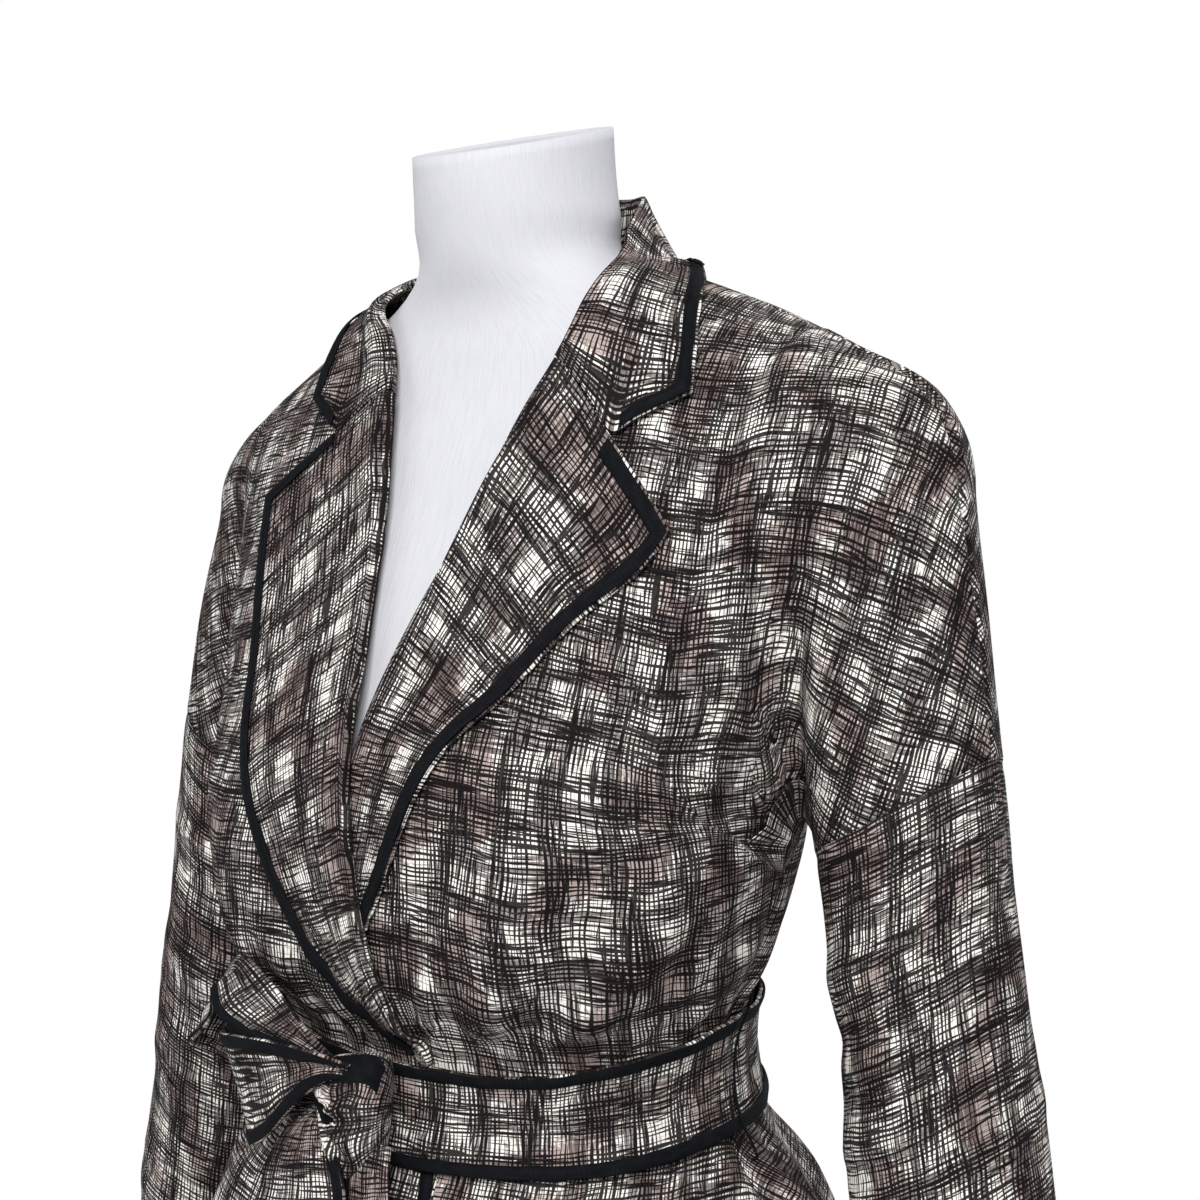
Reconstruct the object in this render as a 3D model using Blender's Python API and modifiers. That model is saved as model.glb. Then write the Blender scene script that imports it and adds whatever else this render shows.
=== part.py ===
"""Belted wrap trench coat with notched lapels, worn by a limbless dress form on its stand.

Metres, +Z up. The form faces -Y, so the wearer's left is +X. The floor is z = 0 and the
stand's centre is at x = y = 0. Every cloth piece is an open surface laid on one shared
figure, a smooth field made from level cuts and two arm tubes, and a Solidify modifier
gives it its wall. Pieces that lie on others use the same figure, moved out by whole layers.
"""
import math

import bmesh
import bpy
import numpy as np
from mathutils import Vector
from mathutils.bvhtree import BVHTree

# ---- cloth -----------------------------------------------------------------
CLOTH = 0.0011          # wall of one thickness of the printed cotton
LAYER = 0.0020          # from one cloth's inner face to the next one's, lying on it
SEAM = 0.0002           # each edge at a seam stands back by this much
GUSSET_SEAM = 0.0008    # the same at the gussets, whose seams lie in a hollow
BINDING = 0.0007        # wall of the twill binding
BINDING_GAP = 0.0003    # air between the binding and the cloth under it
BINDING_WIDTH = 0.0072
SKIRT_AIR = 0.0030      # more room between the fronts where the skirt hangs free
BINDING_INSET = 0.0013  # sliver of printed cloth that shows outside the binding

# ---- coat ------------------------------------------------------------------
HEM_Z = 0.42
SIDE_TOP_Z = 1.095      # top of the side seam
ARMHOLE_X = 0.176       # level plane where the body ends and the cut-on sleeve starts
SHOULDER_Z = 1.368      # height of the shoulder ridge over it
ARMPIT_X = 0.171        # the arch of cloth under the arm: its body side, its width
ARMPIT_WIDTH = 0.021
ARMPIT_Y = 0.020
ARMPIT_Z = 1.112
ARMPIT_ARCH = 0.018
SEAM_END = (0.283, 1.166)   # x and z of the sleeve seam outside the arm
CUFF_Z = 0.755
NECK_Z = 1.405          # neckline, where the collar's stand is sewn
BREAK_Z = 1.152         # the crossing of the two roll lines
WAIST_Z = 0.984
BELT_HEIGHT = 0.064
SHOULDER_SWAY = 0.045   # the left shoulder stands higher than the right: rise in z over x

# ---- stand -----------------------------------------------------------------
BASE_RADIUS = 0.175
BASE_HEIGHT = 0.018
POLE_RADIUS = 0.014
TORSO_FOOT_Z = 0.60
NECK_TOP_Z = 1.479
NECK_TILT = 11.0        # degrees that the neck's flat top dips forward

# Level cuts of the coat's inner face: height, half width, y of the widest line, depth to
# the front and to the back from it, squareness in front and behind (2 is an ellipse).
COAT_CUTS = (
    (0.42, 0.256, 0.000, 0.212, 0.205, 2.2, 2.1),
    (0.60, 0.236, 0.000, 0.194, 0.188, 2.2, 2.1),
    (0.75, 0.217, 0.000, 0.176, 0.172, 2.3, 2.1),
    (0.85, 0.193, 0.000, 0.160, 0.157, 2.3, 2.1),
    (0.914, 0.164, 0.000, 0.139, 0.134, 2.3, 2.1),
    (0.955, 0.140, 0.000, 0.116, 0.114, 2.2, 2.1),
    (0.985, 0.134, 0.000, 0.109, 0.110, 2.2, 2.1),
    (1.015, 0.137, 0.000, 0.112, 0.106, 2.4, 2.1),
    (1.05, 0.153, 0.006, 0.134, 0.097, 2.9, 2.1),
    (1.10, 0.166, 0.014, 0.145, 0.092, 3.0, 2.1),
    (1.152, 0.172, 0.018, 0.144, 0.094, 2.8, 2.2),
    (1.20, 0.178, 0.020, 0.126, 0.096, 2.8, 2.3),
    (1.25, 0.189, 0.031, 0.113, 0.087, 3.0, 2.4),
    (1.285, 0.200, 0.039, 0.104, 0.077, 3.0, 2.4),
    (1.316, 0.212, 0.044, 0.097, 0.068, 2.7, 2.3),
    (1.336, 0.213, 0.046, 0.091, 0.060, 2.4, 2.2),
    (1.352, 0.198, 0.046, 0.085, 0.054, 2.2, 2.1),
    (1.370, 0.166, 0.043, 0.076, 0.051, 2.1, 2.0),
    (1.386, 0.133, 0.037, 0.069, 0.051, 2.0, 2.0),
    (1.401, 0.098, 0.029, 0.066, 0.051, 2.0, 2.0),
    (1.412, 0.073, 0.023, 0.064, 0.052, 2.0, 2.0),
    (1.440, 0.064, 0.016, 0.057, 0.057, 2.0, 2.0),
)

# Level cuts of the dress form inside it, in the same columns.
FORM_CUTS = (
    (0.60, 0.150, 0.000, 0.100, 0.108, 2.2, 2.1),
    (0.70, 0.166, 0.000, 0.110, 0.120, 2.2, 2.1),
    (0.80, 0.168, 0.000, 0.110, 0.124, 2.2, 2.1),
    (0.88, 0.152, 0.000, 0.104, 0.112, 2.2, 2.1),
    (0.955, 0.126, 0.000, 0.098, 0.096, 2.2, 2.1),
    (0.985, 0.122, 0.000, 0.096, 0.094, 2.2, 2.1),
    (1.015, 0.124, 0.000, 0.099, 0.092, 2.2, 2.1),
    (1.05, 0.134, 0.006, 0.113, 0.085, 2.4, 2.1),
    (1.10, 0.149, 0.014, 0.130, 0.082, 2.5, 2.1),
    (1.152, 0.157, 0.018, 0.134, 0.085, 2.5, 2.2),
    (1.20, 0.161, 0.020, 0.118, 0.088, 2.6, 2.3),
    (1.25, 0.168, 0.031, 0.105, 0.079, 2.8, 2.4),
    (1.285, 0.175, 0.039, 0.096, 0.070, 2.8, 2.4),
    (1.316, 0.184, 0.044, 0.089, 0.061, 2.6, 2.3),
    (1.334, 0.183, 0.046, 0.083, 0.053, 2.4, 2.2),
    (1.349, 0.175, 0.046, 0.078, 0.047, 2.2, 2.1),
    (1.3675, 0.1610, 0.043, 0.071, 0.046, 2.1, 2.0),
    (1.3835, 0.1270, 0.037, 0.0625, 0.046, 2.0, 2.0),
    (1.3985, 0.0885, 0.029, 0.0565, 0.046, 2.0, 2.0),
    (1.4095, 0.0670, 0.023, 0.0550, 0.0475, 2.0, 2.0),
    (1.440, 0.0580, 0.0165, 0.0550, 0.0550, 2.0, 2.0),
    (1.500, 0.0555, 0.0130, 0.0545, 0.0545, 2.0, 2.0),
)

# The sleeve tube: height, x and y of its centre line, half width across and along Y.
SLEEVE_CUTS = (
    (0.70, 0.2990, 0.0165, 0.0510, 0.0570),
    (0.755, 0.2905, 0.0165, 0.0500, 0.0560),
    (0.95, 0.2595, 0.0200, 0.0475, 0.0530),
    (1.085, 0.2400, 0.0240, 0.0445, 0.0520),
    (1.13, 0.2335, 0.0260, 0.0460, 0.0520),
    (1.163, 0.2270, 0.0280, 0.0475, 0.0510),
    (1.227, 0.2170, 0.0350, 0.0480, 0.0500),
    (1.300, 0.2050, 0.0450, 0.0455, 0.0480),
)
SLEEVE_TOP_Z = 1.284    # above this the tube closes in a dome
SLEEVE_BLEND = 0.030    # reach of the soft join of sleeve and body

# Roll lines in the front view: height, x of the left front's, x of the right front's.
ROLL_LINES = (
    (0.42, -0.115, 0.125),
    (0.80, -0.095, 0.085),
    (0.95, -0.060, 0.040),
    (1.014, -0.032, 0.032),
    (1.045, -0.022, 0.026),
    (1.083, -0.010, 0.012),
    (1.152, 0.000, 0.001),
    (1.193, 0.008, -0.008),
    (1.239, 0.021, -0.021),
    (1.271, 0.030, -0.028),
    (1.304, 0.040, -0.035),
    (1.330, 0.049, -0.042),
    (1.361, 0.058, -0.051),
    (1.392, 0.063, -0.061),
    (1.407, 0.065, -0.065),
)

# Outer edge of each lapel from its tip down: share of the way down, then x and z of the
# roll line and x and z of the edge, on that lapel's own side of the body.
LEFT_LAPEL = (
    (0.00, 0.0585, 1.366, 0.1530, 1.2830),
    (0.10, 0.053, 1.343, 0.1440, 1.2660),
    (0.30, 0.038, 1.293, 0.1130, 1.2320),
    (0.50, 0.020, 1.235, 0.0830, 1.1950),
    (0.70, 0.003, 1.168, 0.0530, 1.1600),
    (0.85, -0.007, 1.098, 0.0260, 1.1000),
    (1.00, -0.014, 1.066, 0.0060, 1.0620),
)
RIGHT_LAPEL = (
    (0.00, 0.047, 1.348, 0.1340, 1.2865),
    (0.10, 0.044, 1.328, 0.1230, 1.2620),
    (0.30, 0.032, 1.285, 0.1050, 1.2200),
    (0.50, 0.017, 1.228, 0.0890, 1.1750),
    (0.70, 0.000, 1.155, 0.0620, 1.1240),
    (0.85, -0.011, 1.088, 0.0290, 1.0720),
    (1.00, -0.021, 1.048, -0.0080, 1.0390),
)
NOTCH_SHARES = (0.524, 0.425)     # how far along each lapel's top edge the notch lies

# The collar from the middle of the back to the shoulder seam and on to its left front end:
# share of the way round, then the neck seam, the roll line and the outer edge as x, y, z.
COLLAR_LEFT = (
    (0.00, 0.000, 0.0740, 1.414, 0.000, 0.0860, 1.456, 0.000, 0.1000, 1.388),
    (0.22, 0.032, 0.0690, 1.414, 0.032, 0.0800, 1.456, 0.045, 0.0980, 1.387),
    (0.44, 0.058, 0.0520, 1.4145, 0.056, 0.0600, 1.455, 0.084, 0.0800, 1.393),
    (0.60, 0.070, 0.0280, 1.415, 0.068, 0.0290, 1.438, 0.108, 0.0420, 1.398),
    (0.72, 0.069, 0.0060, 1.407, 0.069, 0.0050, 1.412, 0.122, 0.0180, 1.384),
    (0.86, 0.064, -0.0140, 1.388, 0.063, -0.0180, 1.390, 0.138, -0.0080, 1.361),
    (1.00, 0.0585, -0.0300, 1.367, 0.057, -0.0320, 1.369, 0.148, -0.0280, 1.343),
)
COLLAR_RIGHT = (
    (0.00, 0.000, 0.0740, 1.414, 0.000, 0.0860, 1.456, 0.000, 0.1000, 1.388),
    (0.22, 0.032, 0.0690, 1.414, 0.032, 0.0800, 1.456, 0.045, 0.0980, 1.387),
    (0.44, 0.058, 0.0520, 1.4145, 0.056, 0.0600, 1.449, 0.082, 0.0800, 1.391),
    (0.60, 0.070, 0.0280, 1.415, 0.067, 0.0290, 1.429, 0.100, 0.0420, 1.398),
    (0.72, 0.0685, 0.0060, 1.4065, 0.068, 0.0050, 1.411, 0.110, 0.0180, 1.388),
    (0.86, 0.0585, -0.0140, 1.381, 0.058, -0.0180, 1.383, 0.118, -0.0080, 1.364),
    (1.00, 0.0475, -0.0300, 1.349, 0.047, -0.0320, 1.351, 0.118, -0.0280, 1.345),
)

# Large folds of the body: angle round the figure and height of the upper and the lower
# end (degrees from the front, the wearer's left positive), half width and height.
BODY_FOLDS = (
    (38, 1.150, 17, 1.020, 0.011, 0.0060),
    (52, 1.190, 31, 1.020, 0.013, 0.0075),
    (74, 1.140, 50, 1.025, 0.012, 0.0060),
    (24, 1.120, 22, 1.022, 0.008, -0.0045),
    (64, 1.110, 41, 1.024, 0.008, -0.0040),
    (88, 1.080, 78, 1.024, 0.010, 0.0045),
    (-34, 1.140, -14, 1.020, 0.011, 0.0060),
    (-58, 1.150, -30, 1.020, 0.013, 0.0085),
    (-46, 1.110, -22, 1.022, 0.008, -0.0055),
    (-80, 1.120, -52, 1.024, 0.012, 0.0065),
    (112, 1.150, 122, 1.022, 0.013, 0.0050),
    (138, 1.170, 146, 1.022, 0.013, 0.0055),
    (166, 1.160, 168, 1.022, 0.012, 0.0045),
    (-112, 1.150, -122, 1.022, 0.013, 0.0050),
    (-140, 1.170, -148, 1.022, 0.013, 0.0055),
    (-170, 1.160, -172, 1.022, 0.012, 0.0045),
    (44, 0.945, 50, 0.700, 0.016, 0.0080),
    (70, 0.945, 77, 0.640, 0.018, 0.0090),
    (100, 0.945, 104, 0.620, 0.018, 0.0080),
    (130, 0.945, 134, 0.560, 0.020, 0.0095),
    (160, 0.945, 162, 0.600, 0.018, 0.0080),
    (-168, 0.945, -170, 0.560, 0.019, 0.0090),
    (-136, 0.945, -140, 0.620, 0.019, 0.0090),
    (-104, 0.945, -108, 0.600, 0.018, 0.0080),
    (-74, 0.945, -82, 0.640, 0.018, 0.0090),
    (-46, 0.945, -54, 0.680, 0.016, 0.0075),
)

# Folds of the cut-on sleeve and the chest beside it, as lines on the front and back of
# the body: x and z of both ends, half width, height and side (-1 front, 1 back).
CHEST_FOLDS = (
    (0.196, 1.250, 0.182, 1.150, 0.009, -0.0085, -1),
    (0.165, 1.235, 0.160, 1.150, 0.012, 0.0050, -1),
    (0.215, 1.240, 0.215, 1.170, 0.012, 0.0035, -1),
    (0.196, 1.260, 0.184, 1.150, 0.010, -0.0075, 1),
    (0.165, 1.260, 0.158, 1.150, 0.013, 0.0045, 1),
)

# Creases of each sleeve: height and angle of the crest (0 inside, 90 in front), lean in
# metres a radian, half width, spread in radians and height.
SLEEVE_FOLDS = (
    (1.060, 60, 0.018, 0.010, 0.9, 0.0030),
    (1.025, 40, 0.022, 0.009, 0.8, -0.0035),
    (0.985, 70, 0.016, 0.012, 1.0, 0.0035),
    (0.935, 100, -0.014, 0.012, 1.0, 0.0030),
    (0.880, 60, 0.018, 0.012, 0.9, -0.0030),
    (0.830, 90, 0.010, 0.014, 1.1, 0.0030),
    (1.040, -70, 0.016, 0.011, 1.0, 0.0030),
    (0.960, -60, -0.016, 0.011, 1.0, -0.0030),
    (0.880, -80, 0.014, 0.013, 1.1, 0.0030),
)

# The bow and the two tails as strips: share of the length, then the middle's x, y, z and
# the half width as x, y, z.
BOW_FRONT = (
    (0.00, -0.0254, -0.1440, 0.9860, 0.000, 0.000, 0.0090),
    (0.14, -0.0390, -0.1520, 0.9840, 0.001, -0.001, 0.0170),
    (0.30, -0.0580, -0.1540, 0.9770, 0.002, -0.003, 0.0260),
    (0.42, -0.0800, -0.1450, 0.9690, -0.002, -0.003, 0.0330),
    (0.50, -0.0910, -0.1300, 0.9660, -0.003, 0.000, 0.0340),
    (0.58, -0.0840, -0.1210, 0.9690, -0.003, 0.000, 0.0310),
    (0.78, -0.0580, -0.1260, 0.9810, 0.000, 0.000, 0.0200),
    (1.00, -0.0264, -0.1355, 0.9865, 0.000, 0.000, 0.0075),
)
BOW_UPPER = (
    (0.00, -0.0195, -0.1390, 1.0037, 0.002, 0.000, 0.0030),
    (0.08, -0.0300, -0.1440, 1.0100, 0.001, 0.000, 0.0065),
    (0.20, -0.0520, -0.1450, 1.0190, 0.003, 0.000, 0.0130),
    (0.33, -0.0780, -0.1420, 1.0270, 0.006, 0.000, 0.0190),
    (0.45, -0.1010, -0.1330, 1.0250, 0.005, 0.000, 0.0200),
    (0.54, -0.1240, -0.1250, 1.0110, 0.006, 0.000, 0.0130),
    (0.63, -0.1430, -0.1150, 0.9990, 0.002, 0.000, 0.0065),
    (0.69, -0.1380, -0.1050, 0.9930, 0.003, 0.000, 0.0080),
    (0.80, -0.1050, -0.1080, 0.9880, 0.000, 0.000, 0.0100),
    (0.90, -0.0600, -0.1165, 0.9870, 0.000, 0.000, 0.0095),
    (1.00, -0.0240, -0.1275, 0.9870, 0.000, 0.000, 0.0070),
)
TAIL_FRONT = (
    (0.00, -0.012, -0.1375, 0.9666, 0.010, -0.001, 0.000),
    (0.04, -0.018, -0.1490, 0.9540, 0.014, -0.002, 0.002),
    (0.10, -0.030, -0.1600, 0.9300, 0.020, -0.003, 0.004),
    (0.25, -0.048, -0.1720, 0.8800, 0.028, -0.004, 0.003),
    (0.50, -0.060, -0.1960, 0.7900, 0.030, 0.004, 0.001),
    (0.75, -0.066, -0.2130, 0.6900, 0.030, -0.003, 0.000),
    (1.00, -0.070, -0.2240, 0.6000, 0.030, 0.002, 0.000),
)
TAIL_BACK = (
    (0.00, 0.011, -0.1325, 0.9659, 0.010, 0.001, 0.000),
    (0.04, 0.013, -0.1370, 0.9520, 0.012, 0.002, 0.000),
    (0.10, 0.012, -0.1500, 0.9300, 0.016, 0.003, 0.000),
    (0.25, 0.008, -0.1640, 0.8800, 0.024, 0.004, 0.000),
    (0.50, 0.012, -0.1900, 0.8000, 0.030, -0.003, 0.000),
    (0.75, 0.020, -0.2080, 0.7100, 0.030, 0.003, 0.000),
    (1.00, 0.026, -0.2200, 0.6300, 0.030, -0.002, 0.000),
)
RIBBONS = (("bow_loop_front", BOW_FRONT, 26), ("bow_loop_upper", BOW_UPPER, 24),
           ("tail_front", TAIL_FRONT, 18), ("tail_back", TAIL_BACK, 18))

# A thread carrier's route: share, angle round the waist, height from the belt's middle and
# distance from the figure.
CARRIER_ROUTE = (
    (0.00, 92, 0.0490, 0.0070),
    (0.15, 92, 0.0390, 0.0098),
    (0.40, 91, 0.0100, 0.0102),
    (0.62, 90, -0.0200, 0.0110),
    (0.80, 90, -0.0400, 0.0140),
    (0.92, 91, -0.0480, 0.0110),
    (1.00, 92, -0.0480, 0.0060),
)

BELT_RISE = 0.0044      # the belt's inner face, over two fronts
BELT_WALL = 0.0018
RIBBON_WALL = 0.0018
RIBBON_DOME = 0.0015    # how far a strip's middle stands out from its edges
KNOT_CENTRE = (0.000, -0.1337, 0.9865)
KNOT_HALF = (0.0245, 0.0140, 0.0185)
THREAD_RADIUS = 0.0007
ROLL_BULGE = 0.0024     # how far a lapel's roll stands out
ROLL_CLEAR = 0.0012     # air between a front's edge and the cloth rolled round it
REST = 0.0029           # from a front's inner face to the inner face of what rests on it
LAPEL_ROWS = 20
LAPEL_COLUMNS = 6
COLLAR_BULGE = 0.0030
COLLAR_FALL = (1.0, 0.83, 0.66, 0.50, 0.34, 0.17)   # columns from its edge to its roll
COLLAR_STATIONS = (0.0, 0.12, 0.24, 0.36, 0.48, 0.58, 0.66, 0.74, 0.81, 0.88, 0.94, 1.0)
BELT_COLUMNS = 48
SLEEVE_RINGS = 12
FORM_COLUMNS = 28
FORM_HEIGHTS = (0.60, 0.68, 0.76, 0.84, 0.91, 0.96, 0.985, 1.01, 1.05, 1.10, 1.15, 1.20, 1.25,
                1.285, 1.316, 1.334, 1.349, 1.359, 1.368, 1.376, 1.384, 1.391, 1.398, 1.404,
                1.410, 1.420, 1.432, 1.450, 1.479)

FRONT_HEIGHTS = (0.42, 0.50, 0.58, 0.66, 0.73, 0.79, 0.84, 0.88, 0.912, 0.938, 0.962, 0.988,
                 1.014, 1.032, 1.050, 1.070, 1.095)
ARM_ANGLES = np.radians((26, 42, 57, 71, 84, 97, 110, 123, 137, 152, 167, 180))
FRONT_COLUMNS = 14
BACK_COLUMNS = 22
NECK_COLUMNS = 4        # of the back's columns on each side of its middle, along the neckline
SHOULDER_X = 0.066      # where the shoulder seam meets the neckline
CAP_COLUMNS = 6


# ---- finishes --------------------------------------------------------------
def finish(name, colour, roughness, metallic=0.0):
    """A plain Principled material, made once for each name."""
    if name in bpy.data.materials:
        return bpy.data.materials[name]
    material = bpy.data.materials.new(name)
    material.use_nodes = True
    shader = material.node_tree.nodes["Principled BSDF"]
    shader.inputs["Base Color"].default_value = (*colour, 1.0)
    shader.inputs["Roughness"].default_value = roughness
    shader.inputs["Metallic"].default_value = metallic
    material.diffuse_color = (*colour, 1.0)
    return material


def print_cotton():
    return finish("printed_cotton", (0.16, 0.13, 0.115), 0.82)


def navy_twill():
    return finish("navy_twill", (0.010, 0.012, 0.018), 0.7)


def white_jersey():
    return finish("white_jersey", (0.78, 0.78, 0.79), 0.85)


def satin_steel():
    return finish("satin_steel", (0.55, 0.55, 0.56), 0.35, 0.9)


# ---- curves and tables -----------------------------------------------------
def smooth_table(rows):
    """A function that runs smoothly through a table, the first column being its key."""
    data = np.array(sorted(rows), dtype=float)
    keys, values = data[:, 0], data[:, 1:]
    slopes = np.gradient(values, keys, axis=0)

    def read(key):
        key = np.clip(np.asarray(key, dtype=float), keys[0], keys[-1])
        cell = np.clip(np.searchsorted(keys, key, side="right") - 1, 0, len(keys) - 2)
        step = (keys[cell + 1] - keys[cell])[..., None]
        t = (key[..., None] - keys[cell][..., None]) / step
        low, high = values[cell], values[cell + 1]
        return (low * (2 * t**3 - 3 * t**2 + 1) + slopes[cell] * step * (t**3 - 2 * t**2 + t)
                + high * (3 * t**2 - 2 * t**3) + slopes[cell + 1] * step * (t**3 - t**2))

    return read


def ease(low, high, value):
    """0 below low, 1 above high and a smooth rise between; low may be the larger one."""
    t = np.clip((value - low) / (high - low), 0.0, 1.0)
    return t * t * (3.0 - 2.0 * t)


coat_cut = smooth_table(COAT_CUTS)
form_cut = smooth_table(FORM_CUTS)
sleeve_cut = smooth_table(SLEEVE_CUTS)
roll_lines = smooth_table(ROLL_LINES)


# ---- the figure ------------------------------------------------------------
def cut_field(points, cut):
    """Roughly the distance outside a body whose level cuts are superellipses."""
    x, y, z = np.moveaxis(points, -1, 0)
    width, middle, front, back, front_square, back_square = np.moveaxis(cut(z), -1, 0)
    ahead = y < middle
    depth = np.where(ahead, front, back)
    square = np.where(ahead, front_square, back_square)
    across = np.maximum(np.abs(x) / width, 1e-9)
    along = np.maximum(np.abs(y - middle) / depth, 1e-9)
    return ((across**square + along**square) ** (1.0 / square) - 1.0) * depth


def sleeve_field(points):
    """Roughly the distance outside the two sleeve tubes, with a dome at each shoulder."""
    x, y, z = np.moveaxis(points, -1, 0)
    centre_x, centre_y, across, along = np.moveaxis(sleeve_cut(np.minimum(z, SLEEVE_TOP_Z)), -1, 0)
    off_x, off_y = (np.abs(x) - centre_x) / across, (y - centre_y) / along
    dome = np.maximum(z - SLEEVE_TOP_Z, 0.0) / across
    reach = np.sqrt(off_x**2 + off_y**2 + dome**2)
    return (reach - 1.0) * across


def coat_field(points):
    """Body and sleeves joined by a soft minimum."""
    body = cut_field(points, coat_cut)
    sleeve = sleeve_field(points) + 0.1 * ease(1.09, 1.04, points[..., 2])
    share = np.clip(0.5 + 0.5 * (sleeve - body) / SLEEVE_BLEND, 0.0, 1.0)
    return sleeve * (1 - share) + body * share - SLEEVE_BLEND * share * (1 - share)


def slope(field, points, step=2e-4):
    """The field's gradient by central differences."""
    shifts = np.eye(3) * step
    return np.stack([(field(points + shift) - field(points - shift)) / (2 * step)
                     for shift in shifts], -1)


def lay(points, field=coat_field, rounds=14):
    """Move points onto the field's zero surface; returns them and the outward normals."""
    points = np.array(points, dtype=float)
    for _ in range(rounds):
        gradient = slope(field, points)
        size = np.maximum(np.sum(gradient**2, -1, keepdims=True), 0.05)
        move = field(points)[..., None] * gradient / size
        length = np.maximum(np.linalg.norm(move, axis=-1, keepdims=True), 1e-12)
        points -= move * np.minimum(1.0, 0.02 / length)
    gradient = slope(field, points)
    return points, gradient / np.linalg.norm(gradient, axis=-1, keepdims=True)


def line_share(px, pz, x0, z0, x1, z1):
    """Distance of points from a segment in a plane, and how far along it they are."""
    run, rise = x1 - x0, z1 - z0
    share = np.clip(((px - x0) * run + (pz - z0) * rise) / (run**2 + rise**2), 0.0, 1.0)
    return np.hypot(px - x0 - share * run, pz - z0 - share * rise), share


def fold_height(points):
    """How far the large folds lift the cloth at points on the figure."""
    x, y, z = np.moveaxis(points, -1, 0)
    around = np.arctan2(x, -y)
    on_body = ease(ARMHOLE_X + 0.030, ARMHOLE_X, np.abs(x)) + ease(1.08, 1.05, z)
    lift = np.zeros_like(z)
    mean_radius = 0.14 + 0.10 * ease(0.95, 0.50, z)
    for top_angle, top, low_angle, low, width, height in BODY_FOLDS:
        rise = np.clip((z - low) / (top - low), 0.0, 1.0)
        crest = np.radians(low_angle + (top_angle - low_angle) * rise)
        off = (np.mod(around - crest + np.pi, 2 * np.pi) - np.pi) * mean_radius
        spread = width * (1.0 + 1.1 * (rise if top > WAIST_Z and low > WAIST_Z else 1.0 - rise))
        fade = ease(0.0, 0.12, rise) * ease(1.0, 0.45, rise) if low > WAIST_Z else (
            ease(1.0, 0.86, rise) * ease(-0.02, 0.5, rise))
        inside = (z <= top) & (z >= low)
        lift = lift + np.where(inside, height * fade * np.exp(-(off / spread) ** 2), 0.0)
    lapel_x = np.interp(z, (1.03, 1.07, 1.124, 1.175), (0.0, 0.029, 0.062, 0.089))
    free = np.maximum(ease(0.0, 0.025, np.abs(x) - lapel_x), ease(1.03, 0.99, z))
    lift = lift * np.clip(on_body, 0.0, 1.0) * np.where(y < 0.0, free, 1.0)
    for x0, z0, x1, z1, width, height, side in CHEST_FOLDS:
        off, share = line_share(np.abs(x), z, x0, z0, x1, z1)
        facing = ease(0.0, 0.02, side * (y - 0.02))
        fade = 0.35 + 0.65 * ease(0.0, 0.5, share)
        lift = lift + height * facing * fade * np.exp(-(off / width) ** 2)
    return lift


def overlap_lift(x, z):
    """How far the right front stands out to pass over the left one; x grows to the right side."""
    over_body = ease(0.115, 0.045, x) * ease(BREAK_Z + 0.080, BREAK_Z + 0.012, z)
    over_lapel = ease(1.012, 1.050, z) * over_body * (REST + CLOTH + BINDING_GAP)
    air = SKIRT_AIR * ease(0.93, 0.80, z)
    over_skirt = ease(0.76, 0.54, x / coat_cut(z)[..., 0]) * (LAYER + air)
    return np.where(z > 0.985, LAYER * over_body + over_lapel, over_skirt)


# ---- mesh building ---------------------------------------------------------
def sway(points):
    """Everything above the chest leans: the wearer's left side a little up, the right down."""
    moved = points.copy()
    moved[..., 2] += SHOULDER_SWAY * points[..., 0] * ease(1.18, 1.36, points[..., 2])
    return moved


def weave(patches):
    """Join grids of points into one open mesh: merged points and faces of 3 or 4 corners."""
    points, faces, start = [], [], 0
    for patch in patches:
        rows, columns = patch.shape[:2]
        index = np.arange(rows * columns).reshape(rows, columns) + start
        quads = np.stack([index[:-1, :-1], index[:-1, 1:], index[1:, 1:], index[1:, :-1]], -1)
        faces.extend(quads.reshape(-1, 4))
        points.append(patch.reshape(-1, 3))
        start += rows * columns
    points = np.concatenate(points)
    keys = np.round(points / 2e-5).astype(int)
    _, first, merged = np.unique(keys, axis=0, return_index=True, return_inverse=True)
    merged = merged.reshape(-1)
    kept = []
    for face in faces:
        corners = list(dict.fromkeys(int(merged[corner]) for corner in face))
        if len(corners) > 2:
            kept.append(corners)
    return points[first], kept


def stand_back(points, faces, distance):
    """Move the open mesh's boundary inwards along the surface, to leave a seam's gap."""
    edge_uses = {}
    for face in faces:
        for a, b in zip(face, face[1:] + face[:1]):
            edge_uses.setdefault((min(a, b), max(a, b)), []).append((a, b, face))
    pushes = {}
    for uses in edge_uses.values():
        if len(uses) > 1:
            continue
        a, b, face = uses[0]
        along = points[b] - points[a]
        centre = points[face].mean(axis=0)
        inward = centre - points[a]
        inward -= along * (inward @ along) / (along @ along)
        inward /= np.linalg.norm(inward)
        pushes.setdefault(a, []).append(inward)
        pushes.setdefault(b, []).append(inward)
    moved = points.copy()
    for vertex, inwards in pushes.items():
        total = np.sum(inwards, axis=0)
        scale = 2.0 / max(1.0 + float(inwards[0] @ inwards[-1]), 0.6) / len(inwards)
        moved[vertex] += total * distance * scale
    return moved


def new_object(name, mesh, material, collection):
    """Put a mesh in the coat's collection with its material."""
    obj = bpy.data.objects.new(name, mesh)
    mesh.materials.append(material)
    collection.objects.link(obj)
    return obj


def cloth(name, patches, material, collection, wall=CLOTH, seam=SEAM):
    """An open surface woven from its patches, with a Solidify wall on its outer side."""
    points, faces = weave(patches)
    points = sway(stand_back(points, faces, seam))
    mesh = bpy.data.meshes.new(name)
    mesh.from_pydata(points.tolist(), [], faces)
    mesh.shade_smooth()
    obj = new_object(name, mesh, material, collection)
    shell = obj.modifiers.new("wall", "SOLIDIFY")
    shell.thickness = wall
    shell.offset = 1.0
    shell.use_even_offset = False
    return obj


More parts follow.
